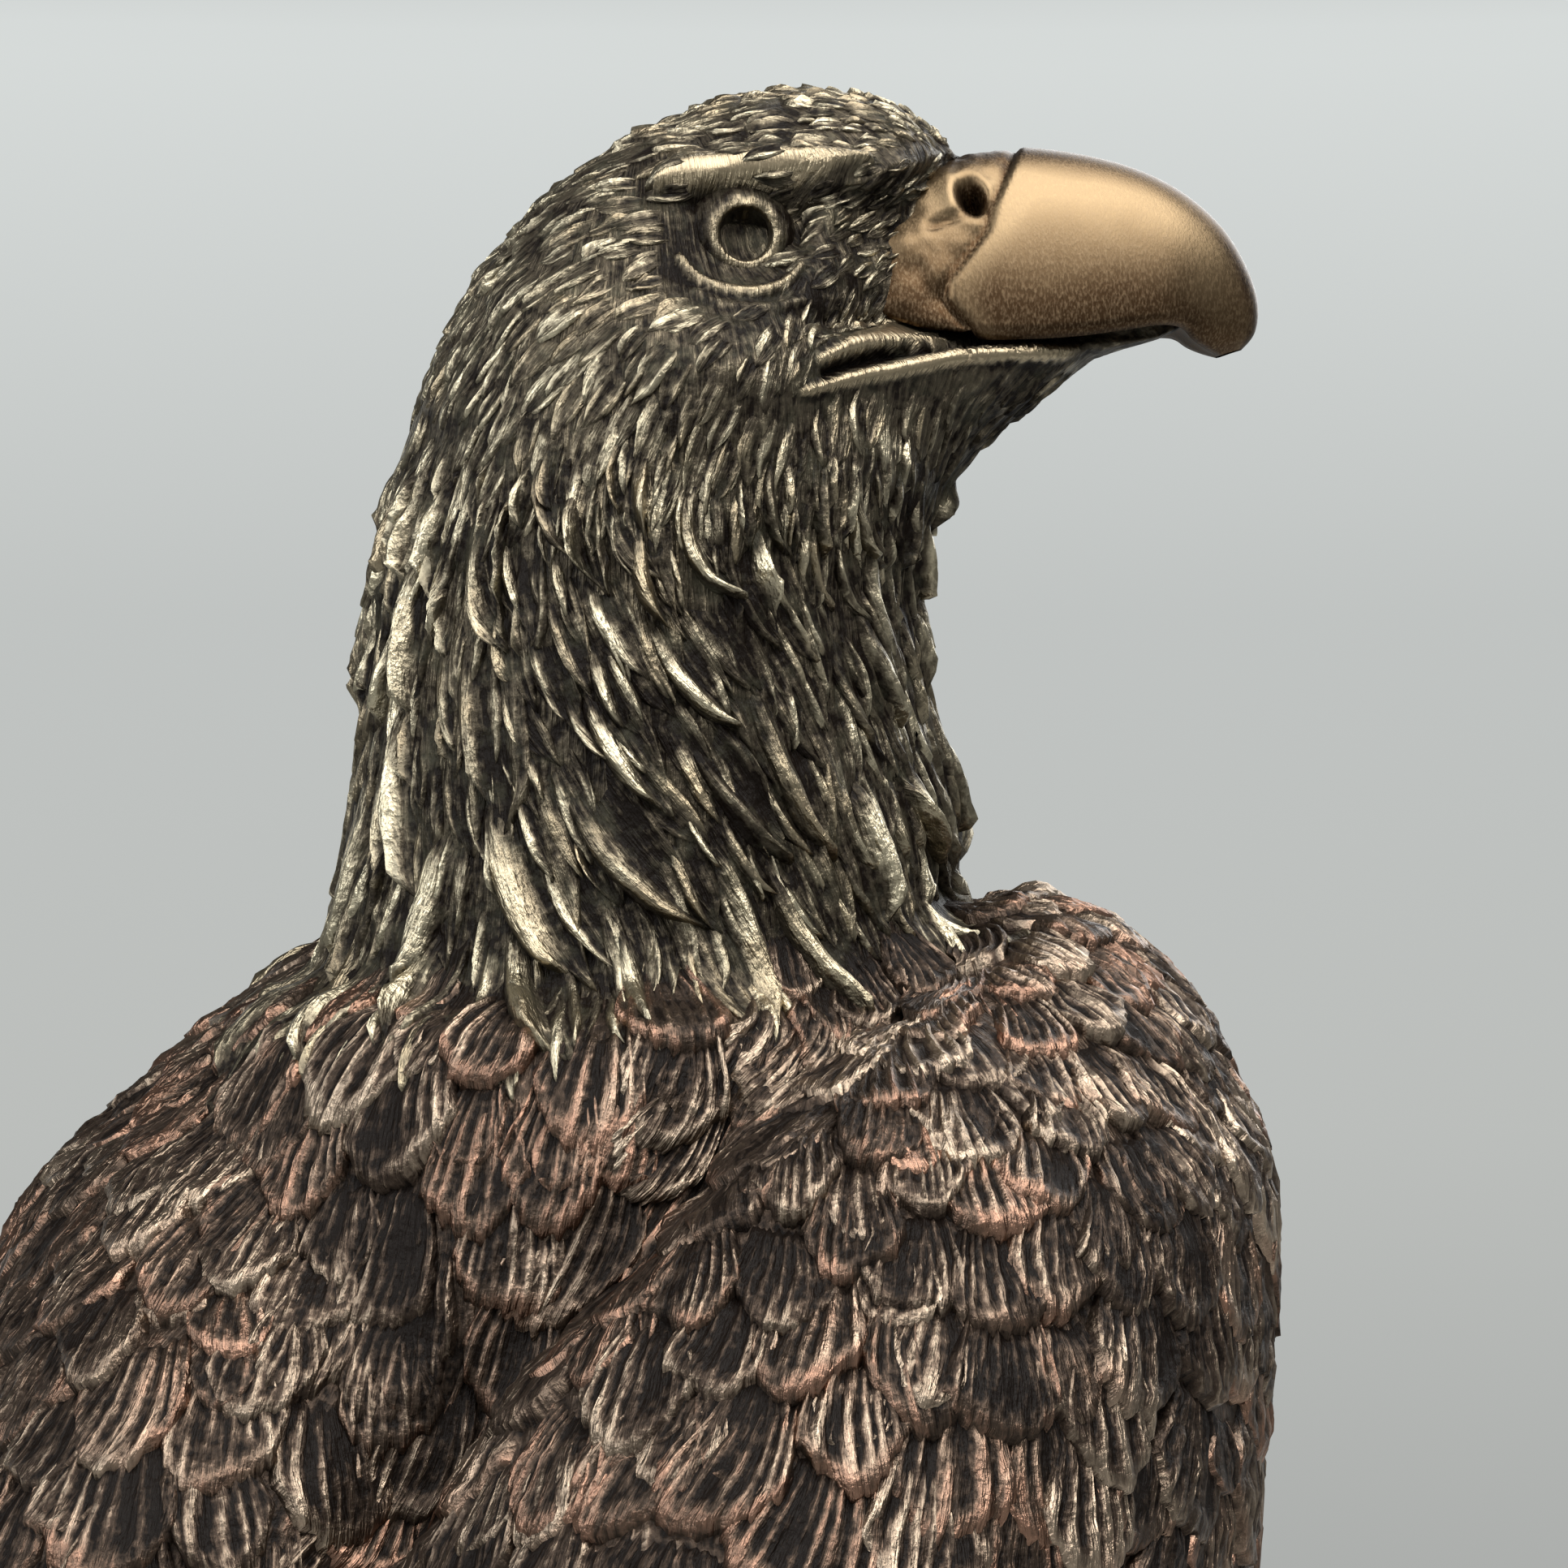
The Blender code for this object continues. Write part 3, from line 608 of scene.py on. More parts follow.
def casting_tree(name):
    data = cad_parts[name].data
    return BVHTree.FromPolygons([tuple(v.co / MM) for v in data.vertices], [tuple(p.vertices) for p in data.polygons])


def owners(points):
    """Which casting each point is on, as its number in CASTINGS."""
    far = [[tree.find_nearest(p)[3] for p in points.tolist()] for tree in map(casting_tree, CASTINGS)]
    return np.argmin(np.array(far), axis=0)


def skin_facts(points, faces):
    """Relief, shade and grain for a bare skin."""
    normals = normals_of(points, faces)
    proud = ((points - relaxed(points, faces, 6)) * normals).sum(axis=1)
    turn = np.arctan2(points[:, 1] + 5, points[:, 0]) * 25
    grain = np.stack([turn, points[:, 2], points[:, 0] * 0.2], axis=1) * MM
    relief = np.clip(0.2 + proud * 1.2, 0, 0.55)
    return {"relief": relief, "shade": noise(points, 20.0), "grain": grain}


def add_skins():
    facts = skin_facts(head_points, head_faces)
    facts["shade"] = np.where(face_relief > 0.3, 0.9, facts["shade"])
    facts["relief"] = np.where(face_relief < 0, 0, np.maximum(facts["relief"], face_relief))
    piece("head_skin", head_points, head_faces, HEAD_LOOK, stands_for=["head_and_neck"], **facts)
    owner = owners(body_points[body_faces].mean(axis=1))
    facts = skin_facts(body_points, body_faces)
    for number, casting in enumerate(CASTINGS):
        name, nodes, look = ("neck", [], HEAD_LOOK) if number == 0 else (casting, [casting], BODY_LOOK)
        points, faces, *rest = compact(body_points, body_faces[owner == number], *facts.values())
        piece(f"{name}_skin", points, faces, look, stands_for=nodes, **dict(zip(facts, rest)))


# ---- feathers


def flow(points):
    """The way the feathers lie at each point."""
    u, v, _ = to_head(points).T
    # On the head they run back from the bill, then turn down over the cheek and the neck
    angle = np.interp(v, [-16, -8, 2, 12, 20, 26, 33, 40, 48], [-84, -76, -66, -74, -94, -118, -142, -165, -178])
    angle = angle + 10 * smooth(u, 2, 12) * smooth(v, 30, 10) - 26 * smooth(u, -12, -26) * smooth(v, 26, 0)
    angle = np.radians(angle + 26 * (noise(points, 9.0) - 0.5))
    head = np.cos(angle)[:, None] * FORWARD + np.sin(angle)[:, None] * UP
    # On the body they run down, outwards from the neck at first and then back to the tail
    x, y, z = points.T
    outward = np.stack([x, y + 5, 0 * x], axis=1)
    outward = unit(outward) * (0.75 * smooth(z, 206, 228))[:, None]
    wing = np.abs(x) / 45
    inwards, backwards = -0.28 * x / 45 * smooth(z, 215, 150), 0.22 + 0.45 * smooth(z, 235, 150) * wing
    body = unit(np.stack([inwards, backwards, -np.ones_like(x)], axis=1) + outward)
    near_valley = bell(valley_distance(points), 0, 3.5)[:, None]
    body = (1 - near_valley) * body + near_valley * unit(np.array([27.0, 22.0, -36.0]))
    body[:, 0] += 0.35 * (noise(points + 50, 14.0) - 0.5)
    mixed = smooth(v, -22, -8)[:, None]
    return unit(mixed * head + (1 - mixed) * unit(body))


def tangent(vectors, normals):
    return unit(vectors - (vectors * normals).sum(axis=-1, keepdims=True) * normals)


def spaced(gap_along, gap_across, scale=None):
    """Spacing for scatter: these gaps along and across the flow, times scale(points)."""

    def spacing(points):
        k = scale(points) if scale else np.ones(len(points))
        return gap_along * k, gap_across * k

    return spacing


def by_height(points, heights, values):
    return np.interp(points[:, 2], heights, values)


def scatter(spacing, keep, tries, seed):
    """Seeds on the kept faces of the skin, no closer than the spacing."""
    rng = np.random.default_rng(seed)
    weight = SKIN.areas * keep
    face = rng.choice(len(SKIN.faces), tries, p=weight / weight.sum())
    mix = rng.dirichlet((1, 1, 1, 1), tries)
    points = (SKIN.points[SKIN.faces[face]] * mix[..., None]).sum(axis=1)
    normals = SKIN.normals[face]
    way = tangent(flow(points), normals)
    across = np.cross(way, normals)
    gap_along, gap_across = spacing(points)
    kept = np.empty(tries, int)
    count = 0
    for i in range(tries):
        rel = points[kept[:count]] - points[i]
        a, c = rel @ way[i] / gap_along[i], rel @ across[i] / gap_across[i]
        n = rel @ normals[i] / gap_along[i]
        if not ((a * a + c * c + n * n) < 1).any():
            kept[count] = i
            count += 1
    return points[kept[:count]]


def lay(starts, length, half_width, shape, rows, columns, steps=7, curl=0.3, seed=1, forwards=0.0, lie=None):
    """Feathers along the flow from each start, curling forwards on each cheek: points, faces and facts.

    shape(s, t, pick, rng) gives the end's place, the width and the height over the skin, with s along a feather, t
    across it, and pick(low, high) drawing one number for each feather.
    """
    rng = np.random.default_rng(seed)
    count = len(starts)
    lie = lie or flow
    bend = rng.uniform(-curl, curl, count) - forwards * np.sign(to_head(starts)[:, 2])
    here, spine, up, wide = starts, [], [], []
    for k in range(steps + 1):
        spot, normal = SKIN.nearest(here)
        way = tangent(lie(spot), normal)
        side = np.cross(way, normal)
        turn = (bend * k / steps)[:, None]
        way = np.cos(turn) * way + np.sin(turn) * side
        side = np.cross(way, normal)
        spine.append(spot)
        up.append(normal)
        wide.append(side)
        here = spot + way * (length / steps)[:, None]
    spine, up, wide = (np.stack(a, axis=1) for a in (spine, up, wide))
    s = np.linspace(0, 1, rows)[None, :, None] * np.ones((count, 1, columns))
    t = np.sin(np.linspace(-math.pi / 2, math.pi / 2, columns))[None, None] * np.ones((count, rows, 1))

    def pick(low, high):
        return rng.uniform(low, high, (count, 1, 1))

    made = shape(s, t, pick, rng)
    knots = np.linspace(0, 1, steps + 1)[None, :, None] * np.ones((count, 1, 1))
    spread = made["width"](knots)[..., 0] * half_width[:, None]
    left, _ = SKIN.nearest(spine - wide * spread[..., None])
    right, _ = SKIN.nearest(spine + wide * spread[..., None])
    x = s * made["reach"] * steps
    middle, low, high, lift = (along(a, x) for a in (spine, left, right, up))
    tt = t[..., None]
    points = middle * (1 - tt**2) + high * (tt**2 + tt) / 2 + low * (tt**2 - tt) / 2
    lift = unit(lift)
    points = points + lift * made["height"][..., None]
    rough = 0.09 * float(half_width.mean())
    points = points + lift * (rough * 2 * (fractal(points, 1.5, 3) - 0.5))[..., None]
    half_width, length, number = (a[:, None, None] for a in (half_width, length, np.arange(count)))
    grain = np.stack([t * half_width + 9.1 * number, s * length, 0 * s], axis=-1) * MM
    shade = pick(0, 1) * (0.75 + 0.5 * made["rim"])
    faces = repeated(grid_faces(rows, columns), count, rows * columns)
    painted_underside_shade = 0.4 + 0.6 * smooth(lift[..., 2], -0.7, 0.0)  # painted shade on the undersides
    relief = made["relief"] * painted_underside_shade
    facts = {"relief": relief.reshape(-1), "shade": shade.reshape(-1), "grain": grain.reshape(-1, 3)}
    return points.reshape(-1, 3), faces, facts


def inside(s, t, tip, side):
    """0 on a feather's border and 1 from these shares of its length and its width inwards."""
    return np.minimum(np.clip((1 - s) / tip, 0, 1), np.clip((1 - np.abs(t)) / side, 0, 1))


def hackle(size, bold=1.0, base=0.1):
    """A narrow neck feather: one thick rubbed rim, fine ridges inside it and a thin far edge."""

    def shape(s, t, pick, rng):
        ragged = pick(0.0, 0.14) * np.sin(t * pick(3, 7) + pick(0, 6))
        reach = 1 - pick(0.3, 0.6) * np.abs(t + pick(-0.4, 0.4)) ** 1.7 + ragged * 0.5
        lean = t + pick(-0.22, 0.22) * np.sin(s * pick(2, 5) + pick(0, 6))
        thick_side = np.where(pick(0, 1) < 0.7, 1, -1)
        across = lean * thick_side
        broad = bold * pick(0.16, 0.27) * (0.55 + 0.6 * np.sin(np.pi * np.clip(s * 1.05, 0, 1)))
        thick = bell(across, 0.58, broad, 3) * pick(0.5, 1.1)
        thin = bell(across, -0.66, 0.16) * pick(0.1, 0.75)
        lines = np.cos(lean * pick(11, 16) + s * pick(-4, 4) + pick(0, 6))
        lines = np.clip(lines, 0, 1) ** 2 * smooth(s, 0.05, 0.3) * pick(0.25, 0.8)
        tip = smooth(s, 0.8, 1.0) * (1 - t**2) * pick(0.2, 1.0)
        body = thick + 0.6 * thin + 0.32 * lines * (1 - np.clip(thick, 0, 1)) + 0.4 * tip
        rise = size * (0.12 + 0.88 * smooth(s, 0.0, 0.8)) * pick(0.75, 1.3)
        height = -0.5 * size * (1 - smooth(s, 0, 0.25)) + rise * (0.10 + 1.0 * body)
        border = inside(s, t, 0.08, 0.12)
        height = height - 1.7 * size * (1 - border) ** 2
        relief = 1.0 * thick + 0.7 * thin + 0.5 * lines * (1 - np.clip(thick, 0, 1)) + 0.4 * tip
        relief = base + relief * (0.15 + 0.85 * smooth(s, 0.1, 0.6)) * pick(0.6, 1.1)
        # Darker towards the border: dark patina in the gaps, and painted shade under the feather's edge
        relief = np.minimum(relief, 0.76 + 0.17 * pick(0, 1)) * (0.4 + 0.6 * smooth(border, 0.0, 0.6))
        width = lambda k: 0.45 + 0.55 * np.sin(np.pi * np.clip(k * 0.8 + 0.1, 0, 1)) - 0.3 * smooth(k, 0.7, 1.0)
        return {"reach": reach, "height": height, "relief": np.clip(relief, 0, 0.93), "width": width, "rim": 0 * relief}

    return shape


def fan(size, ridges=9):
    """A broad scale feather: thin ridges fan out over a dark hollow to a thick, rubbed, ragged rim."""

    def shape(s, t, pick, rng):
        many = rng.integers(ridges - 3, ridges + 2, (len(s), 1, 1))
        phase = t * many / 2 + pick(0, 1) + pick(0.1, 0.4) * np.sin(s * 3 + pick(0, 6))
        phase = phase + 0.25 * np.sin(t * 5 + pick(0, 6))
        nearness = np.abs(phase - np.round(phase))
        chance = np.abs(np.sin(np.round(phase) * 12.9898 + pick(0, 60)))
        crest = bell(nearness, 0, 0.13 + 0.13 * chance) * (0.35 + 0.65 * chance)
        crest = crest * smooth(s, 0.04, 0.3)
        reach = 1 - pick(0.34, 0.58) * np.abs(t) ** 2.1 + 0.07 * (crest - 0.4) + pick(-0.12, 0.12) * t
        reach = reach + 0.05 * np.sin(t * pick(2, 6) + pick(0, 6))
        rim = smooth(s, 0.74, 0.9)
        flank = smooth(np.abs(t), 0.7, 0.86) * smooth(s, 0.25, 0.8)
        rise = size * (0.1 + 0.62 * smooth(s, 0.0, 0.85)) * pick(0.75, 1.25)
        dome = 0.3 * (1 - t**2) + pick(-0.3, 0.3) * t
        height = -0.7 * size * (1 - smooth(s, 0, 0.3)) + rise * (0.6 + dome)
        height = height + size * np.maximum(0.5 * crest, np.maximum(0.36 * rim, 0.24 * flank))
        border = inside(s, t, 0.12, 0.14)
        height = height - 1.8 * size * (1 - border) ** 2
        bright = pick(0.6, 1.15)
        relief = bright * np.maximum(crest * (0.56 + 0.28 * smooth(s, 0.2, 0.8)), 0.66 * rim * (0.6 + 0.4 * chance))
        relief = np.maximum(relief, 0.46 * flank * bright) + pick(0.0, 0.1) * smooth(s, 0.15, 0.5)
        # Darker towards the border: dark patina in the gaps, and painted shade under the feather's edge
        relief = relief * (0.25 + 0.75 * smooth(border, 0.0, 0.7))
        width = lambda k: 0.52 + 0.48 * smooth(k, 0.0, 0.75)
        return {"reach": reach, "height": height, "relief": np.clip(relief, 0, 0.93), "width": width, "rim": rim}

    return shape


def quill(size):
    """A long flight feather with a raised shaft, slanting barbs and a rounded end."""

    def shape(s, t, pick, rng):
        reach = 1 - 0.07 * np.abs(t) ** 2.5
        shaft = bell(t, 0, 0.09)
        barb = np.sin((s * pick(26, 34) + np.abs(t) * 7.0) * 2.2 + 1.5 * np.sin(s * 9))
        split = bell((s - 0.3 - 0.5 * pick(0, 1)) * 22 + np.abs(t) * 3) * smooth(np.abs(t), 0.3, 0.9)
        rise = size * (0.2 + 0.8 * smooth(s, 0.0, 0.6))
        height = -0.8 * size * (1 - smooth(s, 0, 0.12)) + rise * (0.55 + 0.5 * shaft + 0.25 * (1 - np.abs(t)))
        height = height + 0.10 * size * barb * smooth(np.abs(t), 0.06, 0.3) - 0.5 * size * split
        height = height - 1.8 * size * (1 - inside(s, t, 0.02, 0.12)) ** 2
        relief = 0.75 * shaft + 0.30 + 0.16 * barb + 0.4 * smooth(np.abs(t), 0.7, 0.9) + 0.25 * smooth(s, 0.93, 0.98)
        relief = relief * (0.45 + 0.55 * smooth(s, 0, 0.4)) - 0.4 * split
        width = lambda k: 0.6 + 0.4 * smooth(k, 0, 0.3) - 0.2 * smooth(k, 0.85, 1.0)
        return {"reach": reach, "height": height, "relief": np.clip(relief, 0, 0.93), "width": width, "rim": 0 * s}

    return shape


def clear_of_face(points):
    """True where feathers may start: not on the bill, the brow, the eye or the lips."""
    u, v, _ = to_head(points).T
    on_bill = (u > cere_line(v) - 0.5) & (v > 30.5)
    on_chin = (u > 8.0) & (v > np.interp(u, [8, 14, 20, 26], [27.6, 28.6, 29.4, 30.6])) & (v < 34)
    eye = ((u - EYE[0]) / 4.6) ** 2 + ((v - EYE[1]) / 4.6) ** 2 < 1
    bare = np.zeros(len(u), bool)
    for rows, room in ((BROW, 1.05), (LOWER_LID, 0.8), (UPPER_LIP, 1.0), (LOWER_LIP, 0.8), (GAPE, 1.1)):
        bare |= nearest_on(rows, u, v, 40)[1] < room
    return ~(on_bill | on_chin | eye | bare)


WING_TREES = [casting_tree("right_wing"), casting_tree("left_wing")]


def wing_distance(points):
    """How far each point is from the nearer wing casting."""
    return np.array([min(tree.find_nearest(p)[3] for tree in WING_TREES) for p in points.tolist()])


ON_WING = wing_distance(SKIN.centres) < 1.2 + 1.2 * drawn_in(SKIN.centres)
SKIN_V = to_head(SKIN.centres)[:, 1]
SKIN_X, _, SKIN_Z = SKIN.centres.T
SKIN_VALLEY = valley_distance(SKIN.centres)
OFF_VALLEY = SKIN_VALLEY > 3.0
LAID = []  # every feather point so far, to find where the skin still shows


def laid_piece(name, seeds, length, half_width, shape, rows, columns, steps, curl, seed, look, forwards=0.0, tint=None):
    points, faces, facts = lay(seeds, length, half_width, shape, rows, columns, steps, curl, seed, forwards)
    if tint is not None:
        facts["shade"][:] = tint
    LAID.append(points)
    piece(name, points, faces, look, **facts)


def bare_skin(cell=1.7):
    """True for the faces of the skin with no feather point near them."""

    def keys(points):
        whole = np.floor(points / cell).astype(np.int64) + 500
        return whole @ (1, 1000, 1000000)

    covered = np.concatenate([keys(points) for points in LAID])
    return ~np.isin(keys(SKIN.centres + 0.8 * SKIN.normals), covered)


def add_head_feathers():
    def scale(points, values, near_bill):
        u, v, _ = to_head(points).T
        return np.interp(v, [20, 30, 40, 50], values) * (1 - near_bill * smooth(u, 0, 5) * smooth(v, 29, 32))

    spacing = spaced(2.5, 1.15, lambda p: scale(p, [1.35, 1.0, 0.85, 0.9], 0.3))
    seeds = scatter(spacing, (SKIN_V > 20) & clear_of_face(SKIN.centres), 16000, 21)
    k = scale(seeds, [1.5, 1.05, 0.85, 0.85], 0.25) * RNG.uniform(0.75, 1.25, len(seeds))
    laid_piece("head_feathers", seeds, 4.6 * k, 0.95 * k, hackle(0.46, 1.0, 0.18), 10, 9, 4, 0.45, 22, HEAD_LOOK)


def add_neck_feathers():
    def scale(points):
        return np.interp(to_head(points)[:, 1], [-20, -5, 10, 23], [1.05, 1.1, 1.0, 0.62])

    around_neck = np.hypot(SKIN_X, SKIN.centres[:, 1] + 5) < np.interp(SKIN_Z, [221, 232], [35, 50])
    for name, lowest, gap, long, half, kind, rows, columns, forwards, seed in (
        ("neck_hackles", (-16, -14, -4, 1), (5.0, 2.3), 9.5, 1.7, hackle(0.85, 1.0, 0.04), 17, 13, 0.15, 31),
        ("neck_long_hackles", (-11, -9, 0, 5), (8.0, 4.3), 15.0, 2.7, hackle(1.7, 1.2, 0.02), 25, 21, 0.35, 33),
    ):
        below = SKIN_V < np.interp(to_head(SKIN.centres)[:, 0], [-25, -5, 3, 10], lowest)
        on_neck = (SKIN_V < 23) & ~below & around_neck & ~(ON_WING & (SKIN_Z < 233))
        seeds = scatter(spaced(*gap, scale), on_neck, 9000, seed)
        k = scale(seeds) * RNG.uniform(0.78, 1.15, len(seeds))
        laid_piece(name, seeds, long * k, half * k, kind, rows, columns, 7, 0.45, seed + 1, HEAD_LOOK, forwards)


def add_torso_feathers():
    heights = [118, 140, 170, 222]
    lowest = np.where(np.abs(SKIN_X) < 11, 104, 117)
    on_torso = (SKIN_Z < 231) & (SKIN_Z > lowest) & ~ON_WING & (SKIN_V < -10) & OFF_VALLEY
    seeds = scatter(spaced(5.3, 4.9, lambda p: by_height(p, heights, [0.6, 0.75, 1.0, 0.95])), on_torso, 9000, 41)
    k = by_height(seeds, heights, [0.65, 0.8, 1.0, 0.95]) * RNG.uniform(0.85, 1.2, len(seeds))
    back = (seeds[:, 1] > 4) & (seeds[:, 2] > 165)
    for name, chosen, shape, rows, columns, seed in (
        ("back_feathers", back, fan(1.1), 14, 37, 42),
        ("breast_feathers", ~back, fan(1.1, 7), 10, 21, 43),
    ):
        size = k[chosen]
        laid_piece(name, seeds[chosen], 12.5 * size, 4.7 * size, shape, rows, columns, 5, 0.45, seed, BODY_LOOK)


def add_wing_feathers():
    heights = [150, 180, 205, 232]
    for number, (hand, side) in enumerate((("right", -1), ("left", 1))):
        on_side = ON_WING & (SKIN_X * side > 0) & OFF_VALLEY
        spacing = spaced(5.7, 5.5, lambda p: by_height(p, heights, [1.15, 1.15, 0.95, 0.5]))
        seeds = scatter(spacing, on_side & (SKIN_Z > 150), 8000, 51 + number)
        k = by_height(seeds, heights, [1.25, 1.2, 1.0, 0.6]) * RNG.uniform(0.88, 1.15, len(seeds))
        name, columns = f"{hand}_wing_coverts", 37 - 8 * number  # the right wing faces the camera
        laid_piece(name, seeds, 12.5 * k, 5.0 * k, fan(1.2), 13, columns, 5, 0.4, 53 + number, BODY_LOOK)
        seeds = scatter(spaced(15.0, 5.2), on_side & (SKIN_Z < 156) & (SKIN_Z > 104), 3000, 57 + number)
        name, half = f"{hand}_flight_feathers", np.full(len(seeds), 4.2)
        long = np.clip((seeds[:, 2] - 84) * 0.95, 18, 52)
        laid_piece(name, seeds, long, half, quill(1.1), 44, 17, 9, 0.1, 59 + number, BODY_LOOK)
    seeds = scatter(spaced(5.0, 1.3), SKIN_VALLEY < 4.2, 3000, 75)
    k = RNG.uniform(0.7, 1.3, len(seeds))
    shape = hackle(0.55, 0.6, 0.1)
    laid_piece("wing_edge_strands", seeds, 12.0 * k, 1.0 * k, shape, 20, 13, 5, 0.5, 76, BODY_LOOK, 0, 0.95)


def add_fillers():
    """Smaller feathers wherever the skin still shows between the others."""
    for name, low, high, gap, long, half, shape, look, seed in (
        ("neck_filler", 229, 262, (3.4, 1.9), 7.5, 1.6, hackle(0.7, 0.8), HEAD_LOOK, 81),
        ("body_filler", 128, 229, (3.6, 3.2), 8.5, 3.4, fan(0.9, 7), BODY_LOOK, 83),
    ):
        seeds = scatter(spaced(*gap), bare_skin() & (SKIN_Z > low) & (SKIN_Z <= high), 5000, seed)
        seeds = seeds - long * 0.45 * tangent(flow(seeds), SKIN.nearest(seeds)[1])
        seeds = SKIN.nearest(seeds)[0]
        k = np.random.default_rng(seed).uniform(0.8, 1.25, len(seeds))
        laid_piece(name, seeds, long * k, half * k, shape, 10, 19, 4, 0.4, seed + 1, look)


def add_tail_feathers():
    def down_the_tail(points):
        x = points[:, 0]
        return unit(np.stack([0.006 * x, np.full_like(x, 0.45), np.full_like(x, -0.9)], axis=1))

    count = 11
    x, half = np.linspace(-17.0, 17.0, count), np.full(count, 2.5)
    for name, y, z, long, seed in (("upper", 64.5, 87.0, 40.0, 71), ("under", 51.5, 102.0, 57.0, 72)):
        starts = np.stack([x, np.full(count, y), np.full(count, z)], axis=1)
        points, faces, facts = lay(
            starts, long - 0.012 * x**2, half, quill(0.9), 48, 17, 9, 0.04, seed, lie=down_the_tail
        )
        piece(f"tail_feathers_{name}", points, faces, BODY_LOOK, **facts)


# ---- bill, eyes and face


# Radius and height from the pupil's middle, over the rim and down into the socket
EYE_PROFILE = [(0, -1.6), (0.8, -1.6), (1.3, -1.45), (1.62, -0.9), (1.82, -0.1), (2.0, 0.3), (2.3, 0.36)]
EYE_PROFILE += [(2.7, 0.22), (3.05, -0.1), (3.5, -0.7), (3.9, -1.4), (4.2, -2.4)]
NOSTRIL = (12.6, 40.7)


def add_eye(side, hand):
    """Eyeball with a hollow pupil inside a raised rim, and a small catchlight left standing in it."""
    w = SKIN.side_w(*EYE, side)
    centre = from_head([EYE[0], EYE[1], w + side * 0.9])
    axis = unit(OUT * side + 0.18 * FORWARD + 0.05 * UP)
    first = unit(np.cross(UP, axis))
    second = np.cross(axis, first)
    rows, turns = 60, 72
    profile = path(EYE_PROFILE, rows)
    turn = np.linspace(0, 2 * math.pi, turns, endpoint=False)
    radius, height = profile[:, :1], profile[:, 1:]
    x, y = radius * np.cos(turn), radius * np.sin(turn)
    drop = 0.8 * hill(x, y, 0.1, 1.45, 0.38, 0.5)
    height = height + drop + 0.05 * (noise(np.stack([x, y, 0 * x], -1), 0.7) - 0.5)
    points = centre + x[..., None] * first + y[..., None] * second + height[..., None] * axis
    relief = 0.56 * smooth(radius, 1.72, 1.95) * smooth(radius, 3.1, 1.95) * np.ones_like(x) + 0.8 * drop + 0.1
    grain = np.stack([x, y, 0 * x], -1).reshape(-1, 3) * MM
    facts = {"relief": np.clip(relief, 0, 0.93).ravel(), "shade": np.full(x.size, 0.6), "grain": grain}
    piece(f"{hand}_eye", points.reshape(-1, 3), grid_faces(rows, turns, True), HEAD_LOOK, **facts)


def add_bill():
    """The upper bill, with the cere behind it, from the culmen down each side and tucked in under the edge."""
    rows, half = 150, 44
    table = path(BILL, rows)
    phi = np.linspace(0, math.pi / 2, half)
    across, down = np.sin(phi) ** 0.82, 1 - np.cos(phi) ** 1.15
    tuck = np.linspace(0, 1, 10)[1:]
    across = np.concatenate([across, 1 - 0.97 * tuck])
    down = np.concatenate([down, 1 - 0.10 * np.sin(tuck * math.pi / 2)])
    across = np.concatenate([-across[:0:-1], across])
    down = np.concatenate([down[:0:-1], down])
    culmen, edge = table[:, None, :2], table[:, None, 2:4]
    uv = culmen + (edge - culmen) * down[None, :, None]
    w = table[:, 4:5] * across[None]
    u, v = uv[..., 0], uv[..., 1]
    horn_edge = np.interp(v, [31.0, 33.2, 34.6, 38.1, 40.4, 44.5], [12.6, 10.6, 10.9, 13.6, 14.3, 16.0])
    horn = smooth(u, horn_edge - 0.25, horn_edge + 0.35)
    beside = smooth(np.abs(w), 1.5, 4.0)
    lift = 0.42 * horn - 0.25 * bell(u, horn_edge - 0.15, 0.35)
    lift = lift + 0.45 * (1 - horn) * hill(u, v, 11.2, 42.3, 2.2, 1.8) * beside
    lift = lift - 2.6 * hill(u + 0.3 * (v - NOSTRIL[1]), v, *NOSTRIL, 0.85, 1.2) ** 1.4 * beside
    around = np.hypot((u - NOSTRIL[0] + 0.1) / 1.1, (v - NOSTRIL[1]) / 1.35)
    lift = lift + 0.16 * bell(around, 1.25, 0.35) * beside
    groove = bell(v - 0.35 * (u - 10.5), 38.9, 0.4) * smooth(u, 9, 10) * smooth(u, 12.6, 11.2)
    lift = lift - 0.5 * groove * beside
    points = from_head(np.stack([u, v, w], axis=-1))
    lift = lift + (1 - horn) * 0.35 * (fractal(points, 2.2, 3) - 0.5) * 2
    flat = points.reshape(-1, 3)
    faces = grid_faces(rows, points.shape[1])
    normals = normals_of(flat, faces)
    middle = len(flat) // 2
    if normals[middle] @ (flat[middle] - flat.mean(axis=0)) < 0:  # they point inwards
        normals, faces = -normals, faces[:, ::-1]
    flat = flat + lift.reshape(-1, 1) * normals
    # Painted sheen: brightest a fifth of the way down from the culmen, darker towards the lower edge and the tip
    depths, painted_sheen = [0, 0.06, 0.2, 0.42, 0.75, 1.0, 1.1], [0.2, 0.5, 1.0, 0.72, 0.46, 0.25, 0.1]
    relief = np.interp(down[None, :] + 0 * u, depths, painted_sheen) * (1 - 0.5 * smooth(u, 29, 32.5))
    # and a painted sheen just in front of the horn's edge with the cere
    relief = relief + 0.25 * bell(u, horn_edge + 1.0, 1.3) * smooth(down[None, :], 0.1, 0.3)
    cere = 0.9 + 0.7 * np.clip(lift, -0.5, 0.5)
    relief = relief * np.where(horn > 0.5, 1.0, cere) * (1 - hill(u, v, *NOSTRIL, 1.0, 1.2))
    relief = relief * (1 - 0.6 * bell(u, horn_edge - 0.15, 0.3))
    zero = np.zeros(len(flat))
    piece("upper_bill", flat, faces, GOLD_LOOK, relief=np.clip(relief, 0, 1).ravel(), shade=zero, grain=flat * MM)


# ---- rock, legs, plinth


